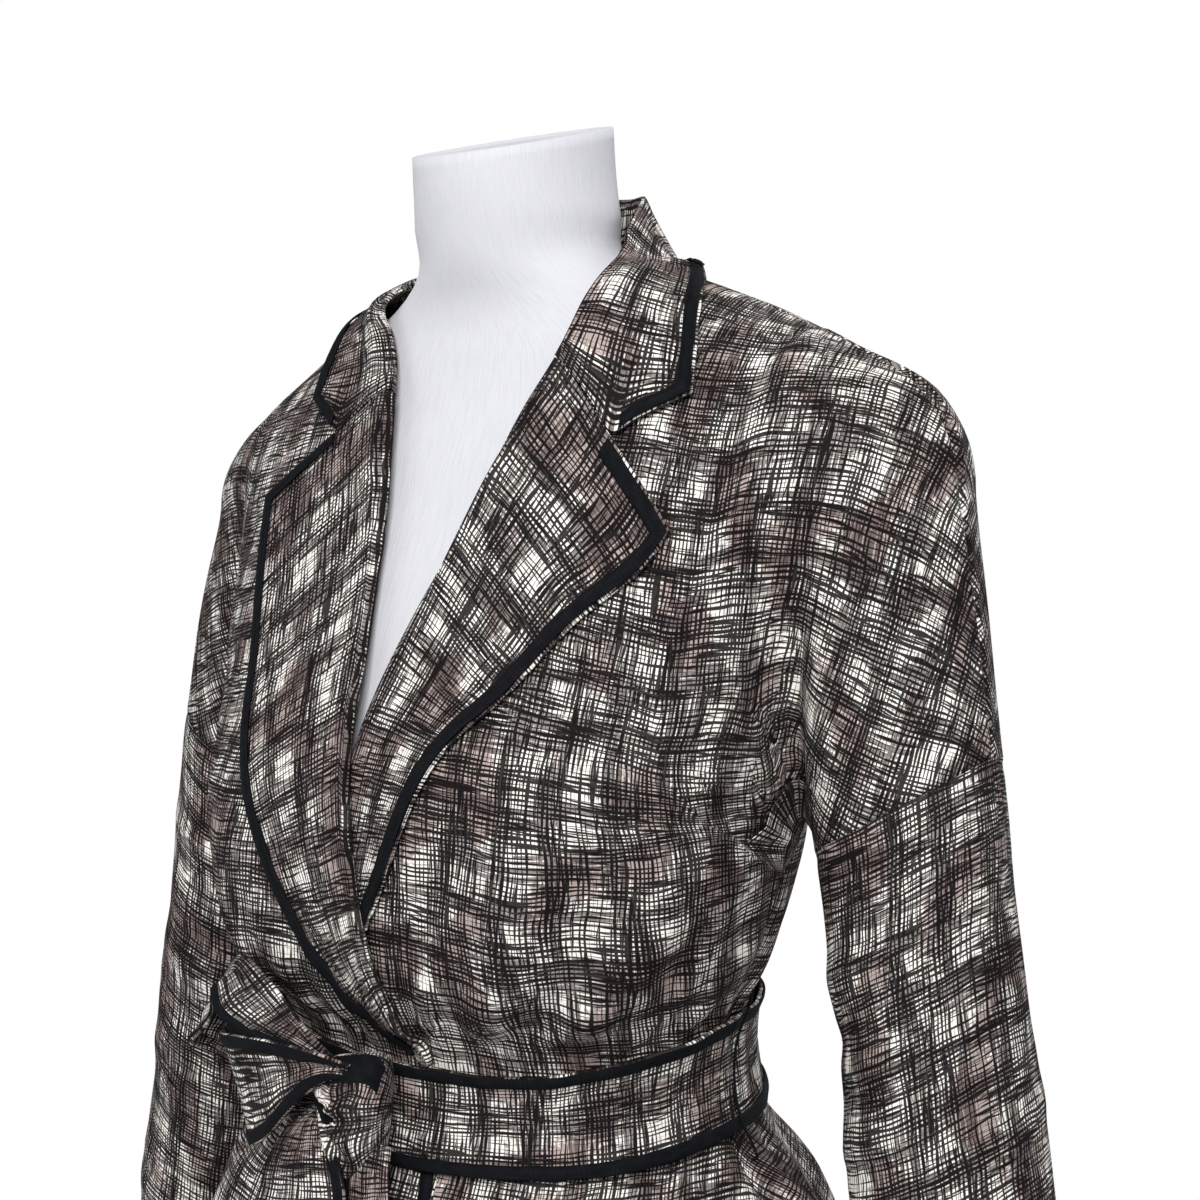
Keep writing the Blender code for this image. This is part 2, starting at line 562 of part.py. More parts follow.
def closed_rings(name, rings, material, collection):
    """A closed solid through level rings of equal count, with a face at each end."""
    count = rings.shape[1]
    faces = []
    for row in range(len(rings) - 1):
        for column in range(count):
            nxt = (column + 1) % count
            low, high = row * count, (row + 1) * count
            faces.append((low + column, low + nxt, high + nxt, high + column))
    faces.append(tuple(range(count - 1, -1, -1)))
    faces.append(tuple(range((len(rings) - 1) * count, len(rings) * count)))
    mesh = bpy.data.meshes.new(name)
    mesh.from_pydata(sway(rings.reshape(-1, 3)).tolist(), [], faces)
    mesh.shade_smooth()
    return new_object(name, mesh, material, collection)


def mirrored(patch):
    """The same grid on the other side of the body, its columns reversed to keep it outward."""
    flipped = patch[:, ::-1].copy()
    flipped[..., 0] *= -1
    return flipped


# ---- fronts and back -------------------------------------------------------
def cap_guess(angle_share, arm_angle, side):
    """A point near the cut-on sleeve: side is -1 in front and 1 behind.

    The share runs from the upright armhole plane to the slanted plane of the sleeve seam.
    Each plane starts, at arm angle 0, on the arch of cloth that joins body and sleeve under
    the arm, and ends on the shoulder or the outside of the arm.
    """
    rise = (1 - np.cos(arm_angle)) / 2
    low_x = ARMPIT_X + ARMPIT_WIDTH * angle_share
    low_z = ARMPIT_Z + 4 * ARMPIT_ARCH * angle_share * (1 - angle_share)
    turn = np.radians(90.0 * (1 - angle_share))
    high_x = ARMHOLE_X + (SEAM_END[0] - ARMHOLE_X) * np.cos(turn)
    high_z = SEAM_END[1] + (SHOULDER_Z - SEAM_END[1]) * np.sin(turn)
    depth = 0.080 + (0.052 - 0.080) * angle_share
    middle = ARMPIT_Y + rise * (0.028 + (0.008 - 0.028) * angle_share)
    x = low_x + (high_x - low_x) * rise
    y = middle + side * depth * np.sin(arm_angle) ** 1.25
    z = low_z + (high_z - low_z) * rise
    return np.stack(np.broadcast_arrays(x, y, z), -1)


def cap_patch(side, lift=0.0):
    """The cut-on sleeve's front or back: rows up the arm, columns out to the sleeve seam."""
    shares = np.linspace(0.0, 1.0, CAP_COLUMNS + 1)
    points, normals = lay(cap_guess(shares[None, :], ARM_ANGLES[:, None], side))
    return points + normals * (fold_height(points) + lift)[..., None]


def body_lower(edge, columns, heights, side, full_turn):
    """Level rows from the edge angle to the side seam, laid on the figure."""
    heights = np.array(heights)
    width, middle, front, back = np.moveaxis(coat_cut(heights), -1, 0)[:4]
    start = np.arcsin(np.clip(edge / width, -0.95, 0.95))
    share = np.linspace(0.0, 1.0, columns + 1)[None, :]
    turn = start[:, None] + (np.pi / 2 - start[:, None]) * share
    if full_turn:
        turn = np.radians(-90 + 180 * share) + 0 * start[:, None]
    depth = np.where(side < 0, front, back)[:, None]
    x = width[:, None] * np.sin(turn)
    y = middle[:, None] + side * depth * np.cos(turn)
    z = heights[:, None] + 0 * share
    return np.stack([x, y, z], -1)


def upper_guess(x_in, z_in, share, side):
    """Rows above the side seam, from the inner line to the armhole plane.

    The rows climb by the armhole's own angles. In the inner columns they stay on the body's
    face up to the chest and then turn over the shoulder; the last column follows the
    armhole, which starts at the underarm and ends on the shoulder ridge.
    """
    angle = ARM_ANGLES[:, None]
    x = x_in + (ARMHOLE_X - x_in) * share
    rise = (1 - np.cos(angle)) / 2
    armhole_z = ARMPIT_Z + (SHOULDER_Z - ARMPIT_Z) * rise
    z = z_in * (1 - share) + armhole_z * share
    near_arm = ease(0.62, 1.0, share)
    flat_rise = 1 + near_arm * (np.sin(angle) ** 1.25 - 1)
    roundness = np.where(angle < np.pi / 2, flat_rise, np.sin(angle))
    middle, front, back = np.moveaxis(coat_cut(np.minimum(z, 1.33)), -1, 0)[1:4]
    depth = front if side < 0 else back
    return np.stack([x, middle + side * depth * roundness, z], -1)


def drape(guess, lift=None):
    """Lay a grid on the figure and add the folds, and a lift given by its x and z."""
    points, normals = lay(guess)
    height = fold_height(points)
    if lift is not None:
        height = height + lift(points[..., 0], points[..., 2])
    return points + normals * height[..., None]


def shoulder_guess(x):
    """A point near the shoulder ridge above x."""
    share = (x - SHOULDER_X) / (ARMHOLE_X - SHOULDER_X)
    y, z = 0.030 + 0.014 * share, 1.415 - 0.043 * share
    return np.stack(np.broadcast_arrays(x, y, z), -1)


def front_patches(column, lift=None):
    """One front on the +X side: its body rows, the rows over the chest, and the cap."""
    heights = np.array(FRONT_HEIGHTS)
    sign = 1.0 if column == 0 else -1.0
    edge = sign * roll_lines(heights)[:, column]
    lower = body_lower(edge, FRONT_COLUMNS, heights, -1.0, False)
    share = np.linspace(0.0, 1.0, FRONT_COLUMNS + 1)[None, :]
    rise = (1 - np.cos(ARM_ANGLES)) / 2
    z_in = (SIDE_TOP_Z + 0.012 + (NECK_Z - SIDE_TOP_Z - 0.012) * rise)[:, None]
    x_in = sign * roll_lines(z_in[:, 0])[:, column][:, None]
    start = math.asin(float(edge[-1]) / float(coat_cut(SIDE_TOP_Z)[0]))
    turn = start + (math.pi / 2 - start) * share
    sine_share = (np.sin(turn) - math.sin(start)) / (1 - math.sin(start))
    spread = ease(0.0, 0.55, rise)[:, None]
    spacing = sine_share * (1 - spread) + share * spread
    upper = upper_guess(x_in, z_in, spacing, -1.0)
    upper[-1] = shoulder_guess(SHOULDER_X + (ARMHOLE_X - SHOULDER_X) * share[0])
    body = drape(np.concatenate([lower, upper]), lift)
    cap = cap_patch(-1.0)
    body[len(heights):, -1] = cap[:, 0]
    body[-1, 1:-1:2] = (body[-1, :-2:2] + body[-1, 2::2]) / 2
    return [body, cap]


def back_patches():
    """The back in one piece: body rows, rows up to the neckline, and both caps."""
    heights = np.array(FRONT_HEIGHTS)
    lower = body_lower(np.zeros(len(heights)), BACK_COLUMNS, heights, 1.0, True)
    step = np.abs(np.linspace(-1.0, 1.0, BACK_COLUMNS + 1))[None, :]
    sign = np.sign(np.linspace(-1.0, 1.0, BACK_COLUMNS + 1))[None, :]
    neck_step = 2.0 * NECK_COLUMNS / BACK_COLUMNS
    share = np.interp(step, (0, neck_step, 1), (0, SHOULDER_X / ARMHOLE_X, 1))
    rise = (1 - np.cos(ARM_ANGLES)) / 2
    spread = ease(0.0, 0.55, rise)[:, None]
    spacing = np.sin(step * math.pi / 2) * (1 - spread) + share * spread
    z_in = (SIDE_TOP_Z + 0.012 + (NECK_Z - SIDE_TOP_Z - 0.012) * rise)[:, None] + 0 * share
    upper = upper_guess(np.zeros_like(z_in), z_in, spacing, 1.0)
    seam = shoulder_guess(np.maximum(upper[-1, :, 0], SHOULDER_X))
    along = np.minimum(upper[-1, :, :1] / SHOULDER_X, 1.0)
    neck = np.concatenate([upper[-1, :, :1], 0.030 + 0.0455 * np.sqrt(1 - along**2),
                           NECK_Z + 0.0095 + 0 * along], axis=1)
    upper[-1] = np.where(step.T < neck_step - 1e-6, neck, seam)
    upper[..., 0] *= sign
    body = drape(np.concatenate([lower, upper]))
    cap = cap_patch(1.0)
    body[len(heights):, -1] = cap[:, 0]
    body[len(heights):, 0] = cap[:, 0] * (-1, 1, 1)
    low = slice(len(heights), len(heights) + 4)
    body[low, -2] = (body[low, -3] + body[low, -1]) / 2
    body[low, 1] = (body[low, 2] + body[low, 0]) / 2
    outward = body[:, ::-1]
    return [outward, cap[:, ::-1], cap * (-1, 1, 1)]


def gusset_patch(front_cap, back_cap, side_top):
    """The underarm gusset: from the front's edge over the arch to the back's edge."""
    arch, _ = lay(cap_guess(np.linspace(0.0, 1.0, CAP_COLUMNS + 1), 0.0, -1))
    length = np.concatenate([[0.0], np.cumsum(np.linalg.norm(np.diff(arch, axis=0), axis=1))])
    even = np.linspace(0.0, length[-1], len(arch))
    arch = np.stack([np.interp(even, length, values) for values in arch.T], -1)
    front, back = (np.concatenate([side_top[None, :], edge]) for edge in (front_cap[0], back_cap[0]))
    arch = np.concatenate([side_top[None, :], arch])
    return np.stack([back, (back + arch) / 2, arch, (front + arch) / 2, front])


def sleeve_rings(front_cap, back_cap, gusset):
    """Level rings of the sleeve from the cap's seam to the cuff, each starting at the armpit."""
    front, back = front_cap[:, -1], back_cap[:, -1]
    inner_front, inner_back, pit = gusset[3, -1], gusset[1, -1], gusset[2, -1]
    seam = np.concatenate([[pit, inner_front], front, back[-2::-1], [inner_back]])
    half = ARM_ANGLES[0] / 2
    angle = np.concatenate([[0.0, half], ARM_ANGLES, -ARM_ANGLES[-2::-1], [-half]])
    share = (np.linspace(0.0, 1.0, SLEEVE_RINGS) ** 1.15)[:, None]
    z = seam[:, 2] * (1 - share) + CUFF_Z * share

    def tube(height):
        x, y, across, along = np.moveaxis(sleeve_cut(height), -1, 0)
        crease = sleeve_fold(angle, height)
        inward, forward = (across + crease) * np.cos(angle), (along + crease) * np.sin(angle)
        return np.stack([x - inward, y - forward, height], -1)

    start = tube(seam[None, :, 2])
    pull = ease(0.09, 0.0, seam[:, 2] - z)[..., None]
    return tube(z) + (seam - start) * pull


def sleeve_fold(angle, height):
    """Soft creases across the sleeve, as waves along it that are strongest in front and inside."""
    lift = np.zeros(np.broadcast(angle, height).shape)
    for crest_z, crest_angle, lean, width, spread, size in SLEEVE_FOLDS:
        turn = np.mod(angle - math.radians(crest_angle) + np.pi, 2 * np.pi) - np.pi
        off = height - crest_z - lean * turn
        lift = lift + size * np.exp(-(off / width) ** 2 - (turn / spread) ** 2)
    return lift


# ---- lapels, collar and their binding --------------------------------------
class Support:
    """The cloth that other pieces rest on: its faces for ray casts and its free edge."""

    def __init__(self, patches):
        points, faces = weave(patches)
        self.tree = BVHTree.FromPolygons(points.tolist(), faces)
        self.edge = patches[0][:, 0]
        self.beyond = patches[0][:, 0] - patches[0][:, 1]

    def height(self, points, normals):
        """Signed height of points over the cloth, measured along their normals."""
        heights = coat_field(points)
        for index, (point, normal) in enumerate(zip(points, normals)):
            hit = self.tree.ray_cast(Vector(point + normal * 0.03), Vector(-normal), 0.06)
            if hit[0] is not None:
                heights[index] = hit[3] - 0.03
        return heights

    def at_edge(self, z):
        """The free edge at heights z, and the unit direction that leads away beyond it."""
        order = np.argsort(self.edge[:, 2])
        read = [np.interp(z, self.edge[order, 2], values) for values in
                (*self.edge[order].T, *self.beyond[order].T)]
        point, beyond = np.stack(read[:3], -1), np.stack(read[3:], -1)
        return point, beyond / np.linalg.norm(beyond, axis=-1, keepdims=True)


def rest(points, normals, support, rise):
    """Points moved along their normals to a given height over the cloth they lie on."""
    flat, along = points.reshape(-1, 3), normals.reshape(-1, 3)
    shift = (np.broadcast_to(rise, points.shape[:-1]).reshape(-1) - support.height(flat, along))
    return (flat + along * shift[:, None]).reshape(points.shape)


def curl_points(support, z, bulge):
    """Three points round the free edge at height z: on top, beyond and just below it."""
    edge, beyond = support.at_edge(z)
    normals = slope(coat_field, edge)
    normals -= beyond * np.sum(normals * beyond, -1, keepdims=True)
    normals /= np.linalg.norm(normals, axis=-1, keepdims=True)
    top = edge + beyond * (0.8 * ROLL_CLEAR) + normals * (REST + 0.55 * bulge)[..., None]
    outer = edge + beyond * (2 * ROLL_CLEAR) + normals * (0.5 * REST)
    under = edge + beyond * ROLL_CLEAR - normals * 0.0003
    return top, outer, under


def lapel_points(table, down, share, support, rise):
    """Points of a lapel at rest on its front: down 0 at the tip row, share 0 at the roll."""
    row = smooth_table(table)(down)
    x = row[..., 0] * (1 - share) + row[..., 2] * share
    z = row[..., 1] * (1 - share) + row[..., 3] * share
    middle, front = np.moveaxis(coat_cut(z), -1, 0)[1:3]
    points, normals = lay(np.stack([x, middle - 0.95 * front, z], -1))
    return rest(points, normals, support, rise), normals


def lapel_patch(table, support):
    """A lapel: three columns curl round the front's edge, the others lie on the front."""
    down = np.linspace(0.0, 1.0, LAPEL_ROWS)[:, None]
    share = np.linspace(0.0, 1.0, LAPEL_COLUMNS + 1)[None, 1:]
    bulge = ease(0.85, 0.35, down) * ROLL_BULGE + 0.0002
    flat, _ = lapel_points(table, down, share, support, REST + bulge * np.exp(-(share * 6.0) ** 1.5))
    top, outer, under = curl_points(support, smooth_table(table)(down[:, 0])[:, 1], bulge[:, 0])
    return np.concatenate([np.stack([under, outer, top], axis=1), flat], axis=1)


def strip(name, outer, inner, normals, collection, air=0.0005):
    """A flat binding between two lines of points, raised from the cloth under it."""
    lift = normals * (CLOTH + air)
    return cloth(name, [np.stack([inner + lift, outer + lift], axis=1)], navy_twill(), collection,
                 BINDING, 0.0)


def lapel_binding(table, support, notch_share):
    """Outer and inner line of a lapel's binding, from the notch round the tip to the foot."""
    end = smooth_table(table)(np.array([0.0, 0.05]))
    tip_step = np.linalg.norm(end[1, 2:] - end[0, 2:]) / 0.05
    down = np.concatenate([[0.0], np.linspace(0.08, 0.92, LAPEL_ROWS)])
    row = smooth_table(table)(down)
    width = np.hypot(row[:, 2] - row[:, 0], row[:, 3] - row[:, 1])
    lines = []
    for inset in (BINDING_INSET, BINDING_INSET + BINDING_WIDTH):
        side_share = 1.0 - np.minimum(inset / width, 0.62)
        top_share = np.linspace(notch_share, 1.0 - inset / width[0], 6)[:-1]
        all_down = np.maximum(np.concatenate([np.zeros(5), down]), inset / tip_step)
        lines.append(lapel_points(table, all_down, np.concatenate([top_share, side_share]), support,
                                  REST + 0.0002))
    return lines[0][0], lines[1][0], lines[0][1]


def collar_section(table, share, support, gorge_row, notch_share):
    """One section of the collar, from its outer edge over the roll to its neck seam.

    From the back to the side of the neck the section stands by itself. Towards its front
    end it curls round the front's edge as the lapel does, and its end follows the gorge.
    """
    row = smooth_table(table)(share)
    seam, roll, edge = row[:3], row[3:6], row[6:]
    fall = np.array(COLLAR_FALL)[:, None]
    leaf = roll + (edge - roll) * fall
    if share >= 1.0:
        x0, z0, x1, z1 = gorge_row
        gorge = np.array([x0, -0.033, z0 + 0.001])
        notch = np.array([x0 + (x1 - x0) * notch_share, -0.045, z0 + (z1 - z0) * notch_share + 0.001])
        outer_half, inner_half = (edge - notch) * (2 * fall - 1), (notch - gorge) * 2 * fall
        leaf = np.where(fall > 0.5, notch + outer_half, gorge + inner_half)
    attached = float(ease(0.60, 0.85, share))
    need = REST + 0.0010 + COLLAR_BULGE * (1 - attached) * np.sin(np.pi * fall[:, 0]) + (
        0.5 * ROLL_BULGE * attached * (fall[:, 0] < 0.3))
    for _ in range(5):
        normals = slope(coat_field, leaf)
        normals /= np.linalg.norm(normals, axis=-1, keepdims=True)
        lack = need - support.height(leaf, normals)
        leaf = leaf + normals * np.where(lack > 0, lack, lack * attached)[:, None]
    neck, normal = lay(seam[None, :])
    neck = neck[0] + normal[0] * (2 * CLOTH + 0.0005)
    stand = np.array([roll, 0.55 * roll + 0.45 * neck, neck])
    front_end = float(ease(0.62, 0.80, share))
    if front_end > 0:
        curled = np.array(curl_points(support, float(seam[2]), np.array(ROLL_BULGE)))
        stand = stand * (1 - front_end) + curled * front_end
    return np.concatenate([leaf, stand])


def collar_patch(supports):
    """The collar from its right front end round the back to its left one."""
    halves = []
    for table, lapel, support, notch in zip((COLLAR_LEFT, COLLAR_RIGHT), (LEFT_LAPEL, RIGHT_LAPEL),
                                            supports, NOTCH_SHARES):
        halves.append(np.stack([collar_section(table, share, support, lapel[0][1:], notch)
                                for share in COLLAR_STATIONS]))
    left, right = halves
    return np.concatenate([right[:0:-1] * (-1, 1, 1), left])


def collar_binding(points):
    """Outer line, inner line and normals of the binding on the collar's free edge and ends."""
    normals = np.cross(np.gradient(points, axis=0), np.gradient(points, axis=1))
    normals /= -np.linalg.norm(normals, axis=-1, keepdims=True)
    across = points[:, 1] - points[:, 0]
    across /= np.linalg.norm(across, axis=-1, keepdims=True)
    starts, ends = points[1] - points[0], points[-2] - points[-1]
    starts /= np.linalg.norm(starts, axis=-1, keepdims=True)
    ends /= np.linalg.norm(ends, axis=-1, keepdims=True)
    lines = []
    for distance in (BINDING_INSET, BINDING_INSET + BINDING_WIDTH):
        line = points[:, 0] + across * distance
        line[0] += starts[0] * distance
        line[-1] += ends[0] * distance
        first, last = points[0] + starts * distance, points[-1] + ends * distance
        lines.append(np.concatenate([first[3:0:-1], line, last[1:4]]))
    return (*lines, np.concatenate([normals[0, 3:0:-1], normals[:, 0], normals[-1, 1:4]]))


# ---- belt, knot and bow ----------------------------------------------------
def belt_line(turn, height):
    """Points of the belt: turn is the angle round the waist, height from its middle line."""
    dip = -0.010 * np.cos(turn) * ease(-0.2, 1.0, np.cos(turn))
    narrow = 1.0 - 0.14 * ease(0.55, 1.0, np.cos(turn))
    z = WAIST_Z + 0.004 + dip + height * narrow
    width, middle, front, back = np.moveaxis(coat_cut(z), -1, 0)[:4]
    depth = np.where(np.cos(turn) > 0, front, back)
    guess = np.stack([width * np.sin(turn), middle - depth * np.cos(turn), z], -1)
    return lay(guess)


def belt_patch(heights, rise):
    """A closed band round the waist through the given heights, raised from the figure."""
    turn = np.linspace(-np.pi, np.pi, BELT_COLUMNS + 1)[None, :]
    points, normals = belt_line(turn, np.array(heights)[:, None])
    patch = points + normals * rise
    patch[:, -1] = patch[:, 0]
    return patch


def ribbon_patch(table, rows, columns=3):
    """A strip through a table of centre points and half widths, its middle slightly domed."""
    share = np.linspace(0.0, 1.0, rows)
    data = smooth_table(table)(share)
    centre, half = data[:, None, :3], data[:, None, 3:6]
    across = np.linspace(-1.0, 1.0, columns)[None, :, None]
    along = np.gradient(data[:, :3], axis=0)[:, None, :]
    normal = np.cross(along, half)
    normal /= np.linalg.norm(normal, axis=-1, keepdims=True)
    return centre + half * across + normal * RIBBON_DOME * (1 - across**2)


def rounded_knot(collection):
    """The knot as one soft solid: an egg pinched by the turns of cloth round it."""
    mesh = bpy.data.meshes.new("knot")
    form = bmesh.new()
    bmesh.ops.create_uvsphere(form, u_segments=18, v_segments=10, radius=1.0)
    for vertex in form.verts:
        x, y, z = vertex.co
        turn = math.atan2(z, x)
        pleat = 1.0 + 0.06 * math.cos(5.0 * turn + 1.0) * (1.0 - y * y)
        square = (abs(x) ** 2.6 + abs(y) ** 2.6 + abs(z) ** 2.6) ** (-1 / 2.6)
        vertex.co = (KNOT_CENTRE[0] + x * square * pleat * KNOT_HALF[0],
                     KNOT_CENTRE[1] + y * square * KNOT_HALF[1] + 0.28 * (x * KNOT_HALF[0]),
                     KNOT_CENTRE[2] + z * square * pleat * KNOT_HALF[2])
    form.to_mesh(mesh)
    form.free()
    mesh.shade_smooth()
    new_object("knot", mesh, print_cotton(), collection)


def thread_carrier(name, side, collection):
    """A chain-stitched thread that bridges the belt at one side, sagging a little below it."""
    curve = bpy.data.curves.new(name, "CURVE")
    curve.dimensions = "3D"
    curve.bevel_depth = THREAD_RADIUS
    curve.bevel_resolution = 0
    curve.use_fill_caps = True
    spline = curve.splines.new("POLY")
    share = np.linspace(0.0, 1.0, 9)
    route = smooth_table(CARRIER_ROUTE)(share ** 0.9)
    turn = np.radians(route[:, 0])
    points, normals = belt_line(turn, route[:, 1])
    points = (points + normals * route[:, 2:3]) * (side, 1, 1)
    spline.points.add(len(points) - 1)
    spline.points.foreach_set("co", np.column_stack([points, np.ones(len(points))]).ravel())
    obj = bpy.data.objects.new(name, curve)
    curve.materials.append(navy_twill())
    collection.objects.link(obj)


# ---- dress form and stand --------------------------------------------------
def make_form(collection):
    """The torso as one smooth solid through level rings, its neck cut by a tilted plane."""
    heights = np.array(FORM_HEIGHTS)
    turn = np.linspace(0.0, 2 * np.pi, FORM_COLUMNS, endpoint=False)[None, :]
    cuts = np.moveaxis(form_cut(heights), -1, 0)[..., None]
    width, middle, front, back, front_square, back_square = cuts
    ahead = np.cos(turn) > 0
    square = np.where(ahead, front_square, back_square)
    depth = np.where(ahead, front, back)
    reach = (np.abs(np.sin(turn)) ** square + np.abs(np.cos(turn)) ** square) ** (-1 / square)
    x = width * np.sin(turn) * reach
    y = middle - depth * np.cos(turn) * reach
    z = heights[:, None] + 0 * turn
    near_top = ease(1.43, NECK_TOP_Z, heights)[:, None]
    z = z + near_top * math.tan(math.radians(NECK_TILT)) * y
    closed_rings("dress_form", np.stack([x, y, z], -1), white_jersey(), collection)


def make_stand(collection):
    """A steel pole on a round base with a bevelled rim."""
    bpy.ops.mesh.primitive_cylinder_add(vertices=40, radius=BASE_RADIUS, depth=BASE_HEIGHT,
                                        location=(0, 0, BASE_HEIGHT / 2))
    base = bpy.context.object
    base.name = "stand_base"
    rim = base.modifiers.new("rim", "BEVEL")
    rim.width = 0.004
    rim.segments = 1
    rim.limit_method = "ANGLE"
    gap = 0.0003
    length = TORSO_FOOT_Z - BASE_HEIGHT - 2 * gap
    bpy.ops.mesh.primitive_cylinder_add(vertices=24, radius=POLE_RADIUS, depth=length,
                                        location=(0, 0, BASE_HEIGHT + gap + length / 2))
    pole = bpy.context.object
    pole.name = "stand_pole"
    for obj in (base, pole):
        obj.data.materials.append(satin_steel())
        for owner in list(obj.users_collection):
            owner.objects.unlink(obj)
        collection.objects.link(obj)


# ---- the coat --------------------------------------------------------------
def make_body(collection):
    """Both fronts, the back, the gussets and the sleeves; returns what the lapels rest on."""
    cotton = print_cotton()
    left = front_patches(0)
    right = front_patches(1, overlap_lift)
    back = back_patches()
    back_cap = cap_patch(1.0)
    side_top = left[0][len(FRONT_HEIGHTS) - 1, -1]
    gusset = gusset_patch(left[1], back_cap, side_top)
    rings = sleeve_rings(left[1], back_cap, gusset)
    rings = np.concatenate([rings, rings[:, :1]], axis=1)[::-1]
    cloth("front_left", left, cotton, collection)
    cloth("front_right", [mirrored(patch) for patch in right], cotton, collection)
    cloth("back", back, cotton, collection)
    cloth("gusset_left", [gusset], cotton, collection, CLOTH, GUSSET_SEAM)
    cloth("gusset_right", [mirrored(gusset)], cotton, collection, CLOTH, GUSSET_SEAM)
    cloth("sleeve_left", [rings], cotton, collection)
    cloth("sleeve_right", [mirrored(rings)], cotton, collection)
    over_shoulder = [patch * (-1, 1, 1) for patch in back]
    return Support(left + back), Support(right + over_shoulder)


def make_lapels_and_collar(supports, collection):
    """The turned-back lapels, the collar and the binding along their free edges."""
    cotton = print_cotton()
    for side, table, support, notch in zip(("left", "right"), (LEFT_LAPEL, RIGHT_LAPEL), supports,
                                           NOTCH_SHARES):
        patch = lapel_patch(table, support)
        outer, inner, normals = lapel_binding(table, support, notch)
        if side == "right":
            patch = mirrored(patch)
            outer, inner, normals = inner * (-1, 1, 1), outer * (-1, 1, 1), normals * (-1, 1, 1)
        cloth(f"lapel_{side}", [patch[::-1]], cotton, collection)
        strip(f"lapel_binding_{side}", outer[::-1], inner[::-1], normals[::-1], collection)
    points = collar_patch(supports)
    cloth("collar", [points], cotton, collection)
    outer, inner, normals = collar_binding(points)
    strip("collar_binding", inner, outer, normals, collection, 0.0008)


def make_belt(collection):
    """The belt round the waist with its two bindings, the knot, the bow and the thread carriers."""
    cotton = print_cotton()
    half = BELT_HEIGHT / 2
    inside = half - BINDING_WIDTH
    cloth("belt", [belt_patch((-half, -inside, inside, half), BELT_RISE)], cotton, collection, BELT_WALL)
    on_belt = BELT_RISE + BELT_WALL + BINDING_GAP
    for edge, heights in (("top", (inside, half)), ("bottom", (-half, -inside))):
        patch = belt_patch(heights, on_belt)
        cloth(f"belt_binding_{edge}", [patch], navy_twill(), collection, BINDING)
    rounded_knot(collection)
    for name, table, rows in RIBBONS:
        obj = cloth(name, [ribbon_patch(table, rows)], cotton, collection, RIBBON_WALL, 0.0)
        obj.modifiers["wall"].offset = 0.0
    thread_carrier("thread_carrier_left", 1.0, collection)
    thread_carrier("thread_carrier_right", -1.0, collection)


def main():
    for obj in list(bpy.data.objects):
        bpy.data.objects.remove(obj, do_unlink=True)
    collection = bpy.data.collections.new("trench_coat_on_dress_form")
    bpy.context.scene.collection.children.link(collection)
    make_form(collection)
    make_stand(collection)
    supports = make_body(collection)
    make_lapels_and_collar(supports, collection)
    make_belt(collection)


main()
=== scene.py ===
"""Looks of a belted wrap trench coat worn by a dress form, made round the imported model.

Metres, +Z up. The form faces -Y and the wearer's left is +X. Every cloth piece is a fine grid
laid on one smooth figure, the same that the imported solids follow, moved out by whole layers
of cloth, and a Solidify modifier gives it its wall. The print, the binding's twill and the
form's knit follow each piece's own UV map, which is its flat cut in metres.
"""

import logging
import math
from dataclasses import dataclass, field
from enum import Enum
from functools import reduce
from typing import Callable, Optional, Sequence

import bpy
import numpy as np
from mathutils import Matrix


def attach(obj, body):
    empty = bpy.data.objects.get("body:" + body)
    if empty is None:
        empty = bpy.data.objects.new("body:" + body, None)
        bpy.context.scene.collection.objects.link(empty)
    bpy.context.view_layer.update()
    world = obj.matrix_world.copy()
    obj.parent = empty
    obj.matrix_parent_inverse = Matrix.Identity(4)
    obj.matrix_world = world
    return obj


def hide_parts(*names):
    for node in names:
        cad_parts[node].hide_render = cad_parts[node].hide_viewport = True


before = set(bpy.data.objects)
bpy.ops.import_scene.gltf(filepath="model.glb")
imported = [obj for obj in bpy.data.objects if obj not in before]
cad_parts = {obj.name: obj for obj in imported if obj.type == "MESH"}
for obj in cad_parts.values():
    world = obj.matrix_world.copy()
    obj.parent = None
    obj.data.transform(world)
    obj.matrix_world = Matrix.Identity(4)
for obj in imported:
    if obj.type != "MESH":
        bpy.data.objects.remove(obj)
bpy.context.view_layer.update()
LOG = logging.getLogger("trench_coat")

Array = np.ndarray
Table = tuple[tuple[float, ...], ...]
Node = bpy.types.Node
Socket = bpy.types.NodeSocket

# ---- cloth -----------------------------------------------------------------
CLOTH = 0.0011  # wall of one thickness of the printed cotton
LAYER = 0.0020  # from one cloth's inner face to the next one's, lying on it
REST = 0.0029  # from a front's inner face to the inner face of what rests on it
SKIRT_AIR = 0.0030  # more room between the fronts where the skirt hangs free
BINDING = 0.0007  # wall of the twill binding
BINDING_GAP = 0.0003  # air between the binding and the cloth under it
BINDING_WIDTH = 0.0072
BINDING_INSET = 0.0013  # sliver of printed cloth that shows outside the binding
TAPE_COLUMNS = 9
TAPE_DOME = 0.0009  # height of a binding's ribs
TAPE_GROOVE = 0.00045  # depth of the stitched groove between them
TOPSTITCH = 0.0125  # from a free edge to the row of stitches inside its binding
STITCH_PITCH = 0.0036
STITCH_LENGTH = 0.0025
STITCH_WIDTH = 0.0006
STITCH_HEIGHT = 0.00028

